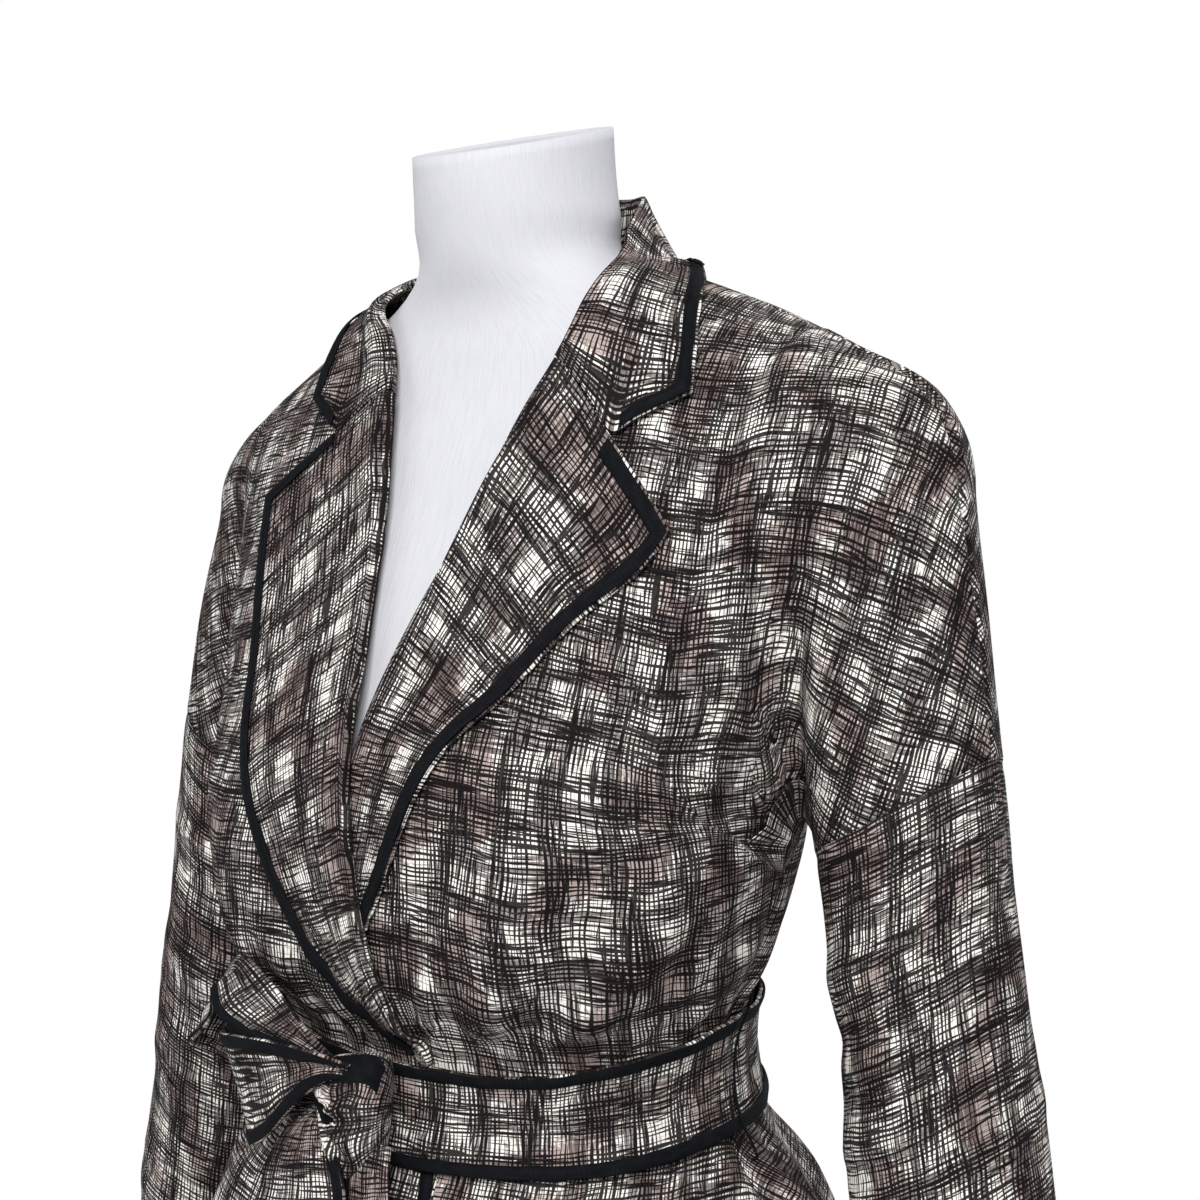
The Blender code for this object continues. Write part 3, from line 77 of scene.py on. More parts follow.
# ---- the coat's body ---------------------------------------------------------
HEM_Z = 0.42
HEM_TURN = 0.028  # height of the stitched hem over the edge
WAIST_Z = 0.984
SIDE_TOP_Z = 1.095  # top of the side seam
BREAK_Z = 1.152  # the crossing of the two roll lines
NECK_Z = 1.405  # neckline, where the collar's stand is sewn
NECK_SHARE = 4 / 11  # of half the back's columns, along the neckline
NECK_CURVE = (0.0455, 0.0095)  # the back's neckline: its depth in y, its height over NECK_Z
GATHER_HEIGHT = 0.0014  # of the small pleats above and below the belt
ARMHOLE_X = 0.176  # level plane where the body ends and the cut-on sleeve starts
ARMHOLE_STEP = 0.012  # how far the armhole's first row starts over the side seam
ARM_ANGLES = (26, 42, 57, 71, 84, 97, 110, 123, 137, 152, 167, 180)  # degrees up the armhole
ARMPIT_X = 0.171  # the arch of cloth under the arm: its body side, its width
ARMPIT_WIDTH = 0.021
ARMPIT_Y = 0.020
ARMPIT_Z = 1.112
ARMPIT_ARCH = 0.018
SHOULDER_X = 0.066  # where the shoulder seam meets the neckline
SHOULDER_SEAM = (0.030, 1.415)  # its y and z there
SHOULDER_FALL = (0.014, -0.043)  # how far y and z change from there to the armhole
SHOULDER_Z = 1.368  # height of the shoulder ridge over the armhole
SHOULDER_CUT_Z = 1.33  # above this height the first guess keeps one level cut
SHOULDER_SWAY = 0.045  # the left shoulder stands higher than the right: rise in z over x

# ---- the sleeves -------------------------------------------------------------
CAP_DEPTH = (0.080, 0.052)  # the cut-on sleeve's half depth, at the armhole and at the sleeve seam
CAP_MIDDLE = (0.028, 0.008)  # how far its top lies behind the armpit, at the same two places
CAP_ROUND = 1.25  # power of the sine that shapes it in front and behind
CAP_GRAIN = 55.0  # degrees between armhole and sleeve seam in a panel's first flat layout
SEAM_END = (0.283, 1.166)  # x and z of the sleeve seam outside the arm
SEAM_HUMP = (0.0011, 0.006)  # height and reach of the hump along a pressed-open seam
SEAM_SINK = (0.0013, 0.0016)  # depth and reach of the sunk stitches in its middle
SLEEVE_TOP_Z = 1.284  # above this the tube closes in a dome
SLEEVE_BLEND = 0.030  # reach of the soft join of sleeve and body
SLEEVE_PULL = 0.090  # height over which the seam's own shape passes into the tube
SLEEVE_RADIUS = 0.0515  # mean radius, for the flat layout
CUFF_Z = 0.755
CUFF_HEM = 0.026  # height of the cuff's stitched hem over the edge
CUFF_TURN = (-0.0006, 0.0022)  # the groove of its stitches: depth and reach
CUFF_CALM = 0.72  # share of the sleeves' creases in the solids that is kept

# ---- lapels and collar -------------------------------------------------------
ROLL_BULGE = 0.0024  # how far a lapel's roll stands out
ROLL_CLEAR = 0.0012  # air between a front's edge and the cloth rolled round it
LAPEL_LIFT = 0.0012  # how far a lapel's free edge stands up
LAPEL_COVER_Z = (1.03, 1.07, 1.124, 1.175)  # heights, and at each how far in x a lapel covers
LAPEL_COVER_X = (0.0, 0.029, 0.062, 0.089)  # the front: no large fold is raised there
NOTCH_SHARES = (0.490, 0.390)  # how far along each lapel's top edge the notch lies
COLLAR_LIFT = 0.0020  # how far the collar's free edge stands up
COLLAR_BULGE = 0.0030  # how far its fall stands off the shoulder
COLLAR_FALL = (1.0, 0.83, 0.66, 0.50, 0.34, 0.17)  # columns from its edge to its roll

# ---- belt and bow ------------------------------------------------------------
BELT_HEIGHT = 0.064
BELT_MIDDLE = 0.004  # its middle line over the waist
BELT_DIP = 0.010  # how far it sinks in front
BELT_SQUEEZE = 0.14  # share of its height that it loses in front
BELT_RISE = 0.0044  # the belt's inner face, over two fronts
BELT_WALL = 0.0018
RIBBON_WALL = 0.0018
RIBBON_DOME = 0.0015  # how far a strip's middle stands out from its edges
PLEAT_DEPTH = 0.0012  # of the small pleats near the knot
KNOT_CENTRE = (0.0050, -0.1375, 0.9790)
KNOT_HALF = (0.0200, 0.0170, 0.0350)
KNOT_SQUARE = 4.5  # squareness of the knot's front view, 2 for an ellipse
KNOT_TAPER = 0.36  # how much wider the knot is at its top than at its middle
KNOT_SLANT = 0.27  # how much the knot climbs to the wearer's left
KNOT_TAPE = 0.33  # width of its binding, as a share of its half height
STRAND = 0.0005  # radius of a thread carrier's strand
STRAND_OFFSET = 0.00045  # from the carrier's middle line to the strand's
STRAND_TURN = 0.0042  # length of one turn of its twist

# ---- dress form --------------------------------------------------------------
TORSO_FOOT_Z = 0.60
TORSO_RADIUS = 0.0995  # mean radius, for the flat layout
NECK_TOP_Z = 1.479
NECK_LEAN_Z = 1.43  # where the rings of the neck start to lean
NECK_SLOPE = (-0.055, 0.2285)  # rise of the neck's flat top along x and y

# ---- tables ------------------------------------------------------------------
# Level cuts of the coat's inner face: height, half width, y of the widest line, depth to
# the front and to the back from it, squareness in front and behind (2 is an ellipse).
COAT_CUTS = (
    (0.42, 0.256, 0.000, 0.212, 0.205, 2.2, 2.1),
    (0.60, 0.236, 0.000, 0.194, 0.188, 2.2, 2.1),
    (0.75, 0.217, 0.000, 0.176, 0.172, 2.3, 2.1),
    (0.85, 0.193, 0.000, 0.160, 0.157, 2.3, 2.1),
    (0.914, 0.164, 0.000, 0.139, 0.134, 2.3, 2.1),
    (0.955, 0.140, 0.000, 0.116, 0.114, 2.2, 2.1),
    (0.985, 0.134, 0.000, 0.109, 0.110, 2.2, 2.1),
    (1.015, 0.137, 0.000, 0.112, 0.106, 2.4, 2.1),
    (1.05, 0.153, 0.006, 0.134, 0.097, 2.9, 2.1),
    (1.10, 0.166, 0.014, 0.145, 0.092, 3.0, 2.1),
    (1.152, 0.172, 0.018, 0.144, 0.094, 2.8, 2.2),
    (1.20, 0.178, 0.020, 0.126, 0.096, 2.8, 2.3),
    (1.25, 0.189, 0.031, 0.113, 0.087, 3.0, 2.4),
    (1.285, 0.200, 0.039, 0.104, 0.077, 3.0, 2.4),
    (1.316, 0.212, 0.044, 0.097, 0.068, 2.7, 2.3),
    (1.336, 0.213, 0.046, 0.091, 0.060, 2.4, 2.2),
    (1.352, 0.198, 0.046, 0.085, 0.054, 2.2, 2.1),
    (1.370, 0.166, 0.043, 0.076, 0.051, 2.1, 2.0),
    (1.386, 0.133, 0.037, 0.069, 0.051, 2.0, 2.0),
    (1.401, 0.098, 0.029, 0.066, 0.051, 2.0, 2.0),
    (1.412, 0.073, 0.023, 0.064, 0.052, 2.0, 2.0),
    (1.440, 0.064, 0.016, 0.057, 0.057, 2.0, 2.0),
)

# Level cuts of the dress form inside it, in the same columns.
FORM_CUTS = (
    (0.60, 0.150, 0.000, 0.100, 0.108, 2.2, 2.1),
    (0.70, 0.166, 0.000, 0.110, 0.120, 2.2, 2.1),
    (0.80, 0.168, 0.000, 0.110, 0.124, 2.2, 2.1),
    (0.88, 0.152, 0.000, 0.104, 0.112, 2.2, 2.1),
    (0.955, 0.126, 0.000, 0.098, 0.096, 2.2, 2.1),
    (0.985, 0.122, 0.000, 0.096, 0.094, 2.2, 2.1),
    (1.015, 0.124, 0.000, 0.099, 0.092, 2.2, 2.1),
    (1.05, 0.134, 0.006, 0.113, 0.085, 2.4, 2.1),
    (1.10, 0.149, 0.014, 0.130, 0.082, 2.5, 2.1),
    (1.152, 0.157, 0.018, 0.134, 0.085, 2.5, 2.2),
    (1.20, 0.161, 0.020, 0.118, 0.088, 2.6, 2.3),
    (1.25, 0.168, 0.031, 0.105, 0.079, 2.8, 2.4),
    (1.285, 0.175, 0.039, 0.096, 0.070, 2.8, 2.4),
    (1.316, 0.184, 0.044, 0.089, 0.061, 2.6, 2.3),
    (1.334, 0.183, 0.046, 0.083, 0.053, 2.4, 2.2),
    (1.349, 0.175, 0.046, 0.078, 0.047, 2.2, 2.1),
    (1.3675, 0.1610, 0.043, 0.071, 0.046, 2.1, 2.0),
    (1.3835, 0.1270, 0.037, 0.0625, 0.046, 2.0, 2.0),
    (1.3985, 0.0885, 0.029, 0.0565, 0.046, 2.0, 2.0),
    (1.4095, 0.0670, 0.023, 0.0550, 0.0475, 2.0, 2.0),
    (1.440, 0.0580, 0.0165, 0.0550, 0.0550, 2.0, 2.0),
    (1.500, 0.0555, 0.0130, 0.0545, 0.0545, 2.0, 2.0),
)

# The sleeve tube: height, x and y of its centre line, half width across and along Y.
SLEEVE_CUTS = (
    (0.70, 0.2990, 0.0165, 0.0510, 0.0570),
    (0.755, 0.2905, 0.0165, 0.0500, 0.0560),
    (0.95, 0.2595, 0.0200, 0.0475, 0.0530),
    (1.085, 0.2400, 0.0240, 0.0445, 0.0520),
    (1.13, 0.2335, 0.0260, 0.0460, 0.0520),
    (1.163, 0.2270, 0.0280, 0.0475, 0.0510),
    (1.227, 0.2170, 0.0350, 0.0480, 0.0500),
    (1.300, 0.2050, 0.0450, 0.0455, 0.0480),
)

# Roll lines in the front view: height, x of the left front's, x of the right front's.
ROLL_LINES = (
    (0.42, -0.115, 0.125),
    (0.80, -0.095, 0.085),
    (0.95, -0.060, 0.040),
    (1.014, -0.032, 0.032),
    (1.045, -0.022, 0.026),
    (1.083, -0.010, 0.012),
    (1.152, 0.000, 0.001),
    (1.193, 0.008, -0.008),
    (1.239, 0.0215, -0.021),
    (1.271, 0.0335, -0.028),
    (1.304, 0.0465, -0.035),
    (1.330, 0.0570, -0.042),
    (1.361, 0.0685, -0.051),
    (1.392, 0.0700, -0.061),
    (1.407, 0.065, -0.065),
)

# Each lapel from its tip down: share of the way down, then x and z of the roll line and x and
# z of the free edge, on that lapel's own side of the body.
LEFT_LAPEL = (
    (0.00, 0.0690, 1.3565, 0.1515, 1.2755),
    (0.10, 0.0600, 1.336, 0.1430, 1.2600),
    (0.30, 0.038, 1.293, 0.1130, 1.2320),
    (0.50, 0.020, 1.235, 0.0830, 1.1950),
    (0.70, 0.003, 1.168, 0.0530, 1.1600),
    (0.85, -0.007, 1.098, 0.0260, 1.1000),
    (1.00, -0.014, 1.066, 0.0060, 1.0620),
)

RIGHT_LAPEL = (
    (0.00, 0.047, 1.348, 0.1315, 1.2945),
    (0.10, 0.044, 1.328, 0.1225, 1.2670),
    (0.30, 0.032, 1.285, 0.1050, 1.2200),
    (0.50, 0.017, 1.228, 0.0890, 1.1750),
    (0.70, 0.000, 1.155, 0.0620, 1.1240),
    (0.85, -0.011, 1.088, 0.0290, 1.0720),
    (0.93, -0.021, 1.050, -0.0040, 1.0380),
    (1.00, -0.0335, 1.0085, -0.0310, 1.0075),
)

# The collar from the middle of the back to the shoulder seam and on to its front end, on each
# side: share of the way round, then the neck seam, the roll line and the outer edge as x, y, z.
COLLAR_BACK = (
    (0.00, 0.000, 0.0740, 1.414, 0.000, 0.0860, 1.456, 0.000, 0.1000, 1.388),
    (0.22, 0.032, 0.0690, 1.414, 0.032, 0.0790, 1.452, 0.045, 0.0970, 1.386),
)

COLLAR_LEFT = COLLAR_BACK + (
    (0.44, 0.058, 0.0520, 1.4145, 0.055, 0.0590, 1.4475, 0.079, 0.0780, 1.390),
    (0.60, 0.070, 0.0280, 1.415, 0.068, 0.0290, 1.431, 0.100, 0.0420, 1.396),
    (0.72, 0.071, 0.0060, 1.405, 0.076, 0.0040, 1.408, 0.118, 0.0180, 1.381),
    (0.86, 0.071, -0.0150, 1.382, 0.074, -0.0200, 1.384, 0.136, -0.0080, 1.357),
    (1.00, 0.0690, -0.0310, 1.3575, 0.069, -0.0330, 1.3595, 0.146, -0.0280, 1.333),
)

COLLAR_RIGHT = COLLAR_BACK + (
    (0.44, 0.058, 0.0520, 1.4145, 0.055, 0.0590, 1.446, 0.078, 0.0780, 1.390),
    (0.60, 0.070, 0.0280, 1.415, 0.066, 0.0290, 1.426, 0.093, 0.0420, 1.395),
    (0.72, 0.0685, 0.0060, 1.4065, 0.067, 0.0050, 1.409, 0.101, 0.0180, 1.386),
    (0.86, 0.0585, -0.0140, 1.381, 0.058, -0.0180, 1.382, 0.108, -0.0080, 1.362),
    (1.00, 0.0475, -0.0300, 1.349, 0.047, -0.0320, 1.351, 0.111, -0.0280, 1.346),
)

# Large folds of the body, then its small creases: angle round the figure and height of the
# upper and the lower end (degrees from the front, the wearer's left positive), half width
# and height.
BODY_FOLDS = (
    (38, 1.150, 17, 1.020, 0.011, 0.0060),
    (52, 1.190, 31, 1.020, 0.013, 0.0075),
    (74, 1.140, 50, 1.025, 0.012, 0.0060),
    (24, 1.120, 22, 1.022, 0.008, -0.0045),
    (64, 1.110, 41, 1.024, 0.008, -0.0040),
    (88, 1.080, 78, 1.024, 0.010, 0.0045),
    (-34, 1.140, -14, 1.020, 0.011, 0.0060),
    (-58, 1.150, -30, 1.020, 0.013, 0.0085),
    (-46, 1.110, -22, 1.022, 0.008, -0.0055),
    (-80, 1.120, -52, 1.024, 0.012, 0.0065),
    (112, 1.150, 122, 1.022, 0.013, 0.0050),
    (138, 1.170, 146, 1.022, 0.013, 0.0055),
    (166, 1.160, 168, 1.022, 0.012, 0.0045),
    (-112, 1.150, -122, 1.022, 0.013, 0.0050),
    (-140, 1.170, -148, 1.022, 0.013, 0.0055),
    (-170, 1.160, -172, 1.022, 0.012, 0.0045),
    (44, 0.945, 50, 0.700, 0.016, 0.0080),
    (70, 0.945, 77, 0.640, 0.018, 0.0090),
    (100, 0.945, 104, 0.620, 0.018, 0.0080),
    (130, 0.945, 134, 0.560, 0.020, 0.0095),
    (160, 0.945, 162, 0.600, 0.018, 0.0080),
    (-168, 0.945, -170, 0.560, 0.019, 0.0090),
    (-136, 0.945, -140, 0.620, 0.019, 0.0090),
    (-104, 0.945, -108, 0.600, 0.018, 0.0080),
    (-74, 0.945, -82, 0.640, 0.018, 0.0090),
    (-46, 0.945, -54, 0.680, 0.016, 0.0075),
    (30, 1.120, 27, 1.019, 0.0050, -0.0016),
    (57, 1.100, 45, 1.020, 0.0055, 0.0018),
    (45, 1.070, 36, 1.019, 0.0045, -0.0020),
    (10, 1.090, 8, 1.019, 0.0045, 0.0014),
    (18, 1.060, 15, 1.019, 0.0040, -0.0013),
    (-26, 1.090, -18, 1.019, 0.0045, -0.0018),
    (-66, 1.120, -42, 1.020, 0.0060, -0.0022),
    (-50, 1.080, -33, 1.019, 0.0045, 0.0016),
    (84, 1.130, 66, 1.020, 0.0060, 0.0020),
    (78, 1.060, 72, 1.019, 0.0045, -0.0016),
    (-88, 1.100, -70, 1.020, 0.0060, -0.0018),
    (102, 1.110, 98, 1.020, 0.0060, 0.0018),
    (126, 1.130, 132, 1.020, 0.0055, -0.0018),
    (154, 1.120, 156, 1.020, 0.0055, 0.0016),
    (-126, 1.130, -132, 1.020, 0.0055, -0.0018),
    (-156, 1.120, -158, 1.020, 0.0055, 0.0016),
    (58, 0.950, 62, 0.800, 0.0070, -0.0022),
    (86, 0.950, 90, 0.780, 0.0070, 0.0020),
    (116, 0.950, 118, 0.760, 0.0075, -0.0022),
    (146, 0.950, 148, 0.780, 0.0070, 0.0020),
    (176, 0.950, 177, 0.800, 0.0070, -0.0020),
    (-154, 0.950, -155, 0.790, 0.0070, 0.0020),
    (-120, 0.950, -122, 0.770, 0.0075, -0.0022),
    (-90, 0.950, -95, 0.790, 0.0070, 0.0022),
    (-60, 0.950, -66, 0.800, 0.0070, -0.0022),
    (-36, 0.950, -40, 0.830, 0.0060, 0.0016),
)

# Folds and small creases of the cut-on sleeve and the chest beside it, as lines on the front
# and back of the body: x and z of both ends, half width, height and side (-1 front, 1 back).
CHEST_FOLDS = (
    (0.196, 1.250, 0.182, 1.150, 0.009, -0.0085, -1),
    (0.165, 1.235, 0.160, 1.150, 0.012, 0.0050, -1),
    (0.215, 1.240, 0.215, 1.170, 0.012, 0.0035, -1),
    (0.196, 1.260, 0.184, 1.150, 0.010, -0.0075, 1),
    (0.165, 1.260, 0.158, 1.150, 0.013, 0.0045, 1),
    (0.196, 1.235, 0.168, 1.160, 0.0050, 0.0016, -1),
    (0.150, 1.185, 0.120, 1.120, 0.0070, 0.0014, -1),
    (0.120, 1.205, 0.150, 1.190, 0.0060, -0.0011, -1),
    (0.196, 1.245, 0.170, 1.160, 0.0055, 0.0016, 1),
    (0.140, 1.230, 0.120, 1.120, 0.0080, -0.0014, 1),
    (0.060, 1.340, 0.050, 1.240, 0.0100, 0.0012, 1),
)

# Creases of each sleeve: height and angle of the crest (0 inside, 90 in front), lean in
# metres a radian, half width, spread in radians and height.
SLEEVE_FOLDS = (
    (1.060, 60, 0.018, 0.010, 0.9, 0.0030),
    (1.025, 40, 0.022, 0.009, 0.8, -0.0035),
    (0.985, 70, 0.016, 0.012, 1.0, 0.0035),
    (0.935, 100, -0.014, 0.012, 1.0, 0.0030),
    (0.880, 60, 0.018, 0.012, 0.9, -0.0030),
    (0.830, 90, 0.010, 0.014, 1.1, 0.0030),
    (1.040, -70, 0.016, 0.011, 1.0, 0.0030),
    (0.960, -60, -0.016, 0.011, 1.0, -0.0030),
    (0.880, -80, 0.014, 0.013, 1.1, 0.0030),
)

# The bow and the two tails as strips: share of the length, then the middle's x, y, z and
# the half width as x, y, z.
BOW_FRONT = (
    (0.00, 0.0120, -0.1475, 1.0085, 0.000, 0.000, 0.0035),
    (0.15, -0.0060, -0.1520, 1.0085, -0.002, 0.000, 0.0075),
    (0.30, -0.0300, -0.1540, 1.0000, -0.006, 0.001, 0.0165),
    (0.42, -0.0560, -0.1510, 0.9880, -0.012, 0.003, 0.0240),
    (0.50, -0.0780, -0.1430, 0.9800, -0.016, 0.005, 0.0260),
    (0.55, -0.0860, -0.1330, 0.9790, -0.015, 0.006, 0.0260),
    (0.60, -0.0800, -0.1250, 0.9800, -0.012, 0.004, 0.0240),
    (0.80, -0.0520, -0.1270, 0.9850, -0.004, 0.000, 0.0180),
    (1.00, -0.0180, -0.1330, 0.9870, 0.000, 0.000, 0.0090),
)

BOW_UPPER = (
    (0.00, -0.0050, -0.1460, 1.0100, 0.004, 0.000, 0.0030),
    (0.10, -0.0200, -0.1500, 1.0190, 0.008, -0.001, 0.0060),
    (0.25, -0.0440, -0.1510, 1.0270, 0.018, -0.002, 0.0125),
    (0.38, -0.0640, -0.1500, 1.0360, 0.022, -0.003, 0.0150),
    (0.50, -0.0800, -0.1440, 1.0430, 0.016, -0.003, 0.0130),
    (0.60, -0.1030, -0.1290, 1.0250, 0.010, 0.000, 0.0170),
    (0.70, -0.1260, -0.1190, 1.0050, 0.009, 0.001, 0.0140),
    (0.78, -0.1430, -0.1120, 0.9920, 0.006, 0.002, 0.0110),
    (0.84, -0.1340, -0.1060, 0.9880, 0.006, 0.002, 0.0100),
    (0.92, -0.0900, -0.1120, 0.9860, 0.000, 0.000, 0.0110),
    (1.00, -0.0180, -0.1260, 0.9870, 0.000, 0.000, 0.0080),
)

TAIL_FRONT = (
    (0.00, -0.0120, -0.1380, 0.9850, 0.006, 0.000, 0.0015),
    (0.04, -0.0180, -0.1450, 0.9760, 0.013, 0.000, 0.0030),
    (0.10, -0.0190, -0.1510, 0.9590, 0.026, -0.001, 0.0050),
    (0.18, -0.0170, -0.1570, 0.9360, 0.034, -0.002, 0.0070),
    (0.30, -0.0300, -0.1690, 0.8900, 0.034, -0.003, 0.0050),
    (0.50, -0.0550, -0.1930, 0.7950, 0.032, 0.004, 0.0010),
    (0.75, -0.0660, -0.2130, 0.6900, 0.031, -0.003, 0.0000),
    (1.00, -0.0700, -0.2240, 0.6000, 0.031, 0.002, 0.0000),
)

TAIL_BACK = (
    (0.00, 0.0160, -0.1380, 0.9700, 0.013, 0.001, 0.0000),
    (0.04, 0.0180, -0.1440, 0.9600, 0.014, 0.002, 0.0010),
    (0.10, 0.0200, -0.1480, 0.9450, 0.015, 0.002, 0.0020),
    (0.25, 0.0220, -0.1590, 0.8900, 0.022, 0.004, 0.0000),
    (0.50, 0.0240, -0.1880, 0.8000, 0.030, -0.003, 0.0000),
    (0.75, 0.0260, -0.2070, 0.7100, 0.030, 0.003, 0.0000),
    (1.00, 0.0280, -0.2200, 0.6300, 0.030, -0.002, 0.0000),
)

# A thread carrier's route: share, angle round the waist, height from the belt's middle and
# distance from the figure.
CARRIER_ROUTE = (
    (0.00, 92, 0.0490, 0.0070),
    (0.15, 92, 0.0390, 0.0098),
    (0.40, 91, 0.0100, 0.0102),
    (0.62, 90, -0.0200, 0.0110),
    (0.80, 90, -0.0400, 0.0140),
    (0.92, 91, -0.0480, 0.0110),
    (1.00, 92, -0.0480, 0.0060),
)

# Slow ripples of the cloth: size, phase a metre along x, y and z, and start.
RIPPLES = (
    (0.00032, 38.0, 21.0, 29.0, 0.4),
    (0.00024, -27.0, 48.0, 41.0, 1.9),
    (0.00018, 61.0, -35.0, -52.0, 3.1),
    (0.00012, 88.0, 74.0, 67.0, 5.0),
)

# Small creases of each sleeve, in the same columns; they are in the scene alone.
SLEEVE_CREASES = (
    (1.075, 95, 0.014, 0.0050, 0.6, 0.0014),
    (1.010, 85, 0.020, 0.0050, 0.5, -0.0014),
    (0.965, 30, 0.020, 0.0055, 0.6, 0.0014),
    (0.910, 70, -0.016, 0.0060, 0.7, 0.0016),
    (0.855, 110, 0.012, 0.0060, 0.6, 0.0014),
    (0.800, 50, 0.014, 0.0070, 0.8, -0.0014),
    (0.990, 180, 0.010, 0.0080, 0.8, 0.0018),
    (0.900, 200, -0.012, 0.0090, 0.9, 0.0018),
    (1.000, -110, 0.014, 0.0060, 0.7, 0.0016),
    (0.840, -100, -0.012, 0.0070, 0.8, 0.0016),
)

# Dark bands of the print: their pitch and greatest drift in millimetres, and the values of
# the wave at which a band starts and is full.
BAND_PITCH = 29.0
BAND_DRIFT = 60.0
BAND_EDGES = (0.35, 0.95)

# Pen strokes of the print, one row for each layer: direction (0 along the cloth, 1 across it,
# 2 and 3 the same two tilted), seed, pitch in millimetres, the inked share of a lane, and how
# much that share grows in a dark band.
BLACK_STROKES = (
    (0, 0.0, 2.20, 0.30, 0.22),
    (1, 31.0, 2.20, 0.28, 0.22),
    (2, 67.0, 2.80, -0.03, 0.32),
    (3, 93.0, 2.80, -0.05, 0.32),
)
BROWN_STROKES = (
    (0, 12.0, 3.30, -0.28, 1.05),
    (1, 45.0, 3.30, -0.32, 1.05),
)
STROKE_TILTS = (0.075, -0.060)  # radians

# Where on the roll of cloth each panel is cut, in metres both ways, so that no print repeats.
CUT_FROM = {"front_left": 0.0, "front_right": 0.0, "back": 1.37, "gusset_left": 2.1, "gusset_right": 2.6,
            "sleeve_left": 0.0, "sleeve_right": 3.3}


# ---- curves and tables -----------------------------------------------------
def smooth_table(rows: Table) -> Callable[[Array], Array]:
    """A cubic Hermite curve through a table whose first column is the key.

    Args:
        rows: the table, in any order.

    Returns:
        A function from keys to the other columns, held still outside the table.
    """
    data = np.array(sorted(rows), dtype=float)
    keys, values = data[:, 0], data[:, 1:]
    slopes = np.gradient(values, keys, axis=0)

    def read(key: Array) -> Array:
        """The other columns at the keys."""
        key = np.clip(np.asarray(key, dtype=float), keys[0], keys[-1])
        cell = np.clip(np.searchsorted(keys, key, side="right") - 1, 0, len(keys) - 2)
        step = (keys[cell + 1] - keys[cell])[..., None]
        t = (key[..., None] - keys[cell][..., None]) / step
        low, high = values[cell], values[cell + 1]
        return (low * (2 * t**3 - 3 * t**2 + 1) + slopes[cell] * step * (t**3 - 2 * t**2 + t)
                + high * (3 * t**2 - 2 * t**3) + slopes[cell + 1] * step * (t**3 - t**2))

    return read


def ease(low: float, high: float, value: Array) -> Array:
    """0 below low, 1 above high and a smooth rise between; low may be the larger one."""
    t = np.clip((value - low) / (high - low), 0.0, 1.0)
    return t * t * (3.0 - 2.0 * t)


def unit(vectors: Array) -> Array:
    """The vectors at length 1."""
    return vectors / np.maximum(np.linalg.norm(vectors, axis=-1, keepdims=True), 1e-12)


def arc_length(points: Array, axis: int) -> Array:
    """Running length along one axis of a grid of points, 0 at its start."""
    steps = np.linalg.norm(np.diff(points, axis=axis), axis=-1)
    start = np.zeros_like(np.take(steps, [0], axis=axis))
    return np.concatenate([start, np.cumsum(steps, axis=axis)], axis=axis)


def resample(points: Array, count: int) -> Array:
    """Catmull-Rom curves through the rows of a grid, read at count even steps.

    Args:
        points: shape (..., n, k): each row of n points is one curve.
        count: points wanted along each curve.

    Returns:
        Shape (..., count, k).
    """
    n = points.shape[-2]
    place = np.linspace(0.0, n - 1.0, count)
    cell = np.minimum(place.astype(int), n - 2)
    t = (place - cell)[:, None]
    p0, p1, p2, p3 = (np.take(points, np.clip(cell + k, 0, n - 1), axis=-2) for k in (-1, 0, 1, 2))
    return p1 + 0.5 * t * (p2 - p0 + t * (2 * p0 - 5 * p1 + 4 * p2 - p3 + t * (3 * (p1 - p2) + p3 - p0)))


def blend(start: Array, end: Array, share: Array) -> Array:
    """The start where share is 0, the end where it is 1, and even steps between."""
    return start * (1 - share) + end * share


def square_to(vectors: Array, along: Array) -> Array:
    """Unit vectors: each vector made square to the unit direction beside it."""
    return unit(vectors - along * np.sum(vectors * along, -1, keepdims=True))


def grid_normals(points: Array) -> Array:
    """Unit normals of a grid, from its own columns and rows."""
    return unit(np.cross(np.gradient(points, axis=1), np.gradient(points, axis=0)))


def mirrored(points: Array) -> Array:
    """A grid on the other side of the body, its columns reversed to keep it outward."""
    return points[:, ::-1] * (-1, 1, 1)


coat_cut = smooth_table(COAT_CUTS)
form_cut = smooth_table(FORM_CUTS)
sleeve_cut = smooth_table(SLEEVE_CUTS)
roll_lines = smooth_table(ROLL_LINES)


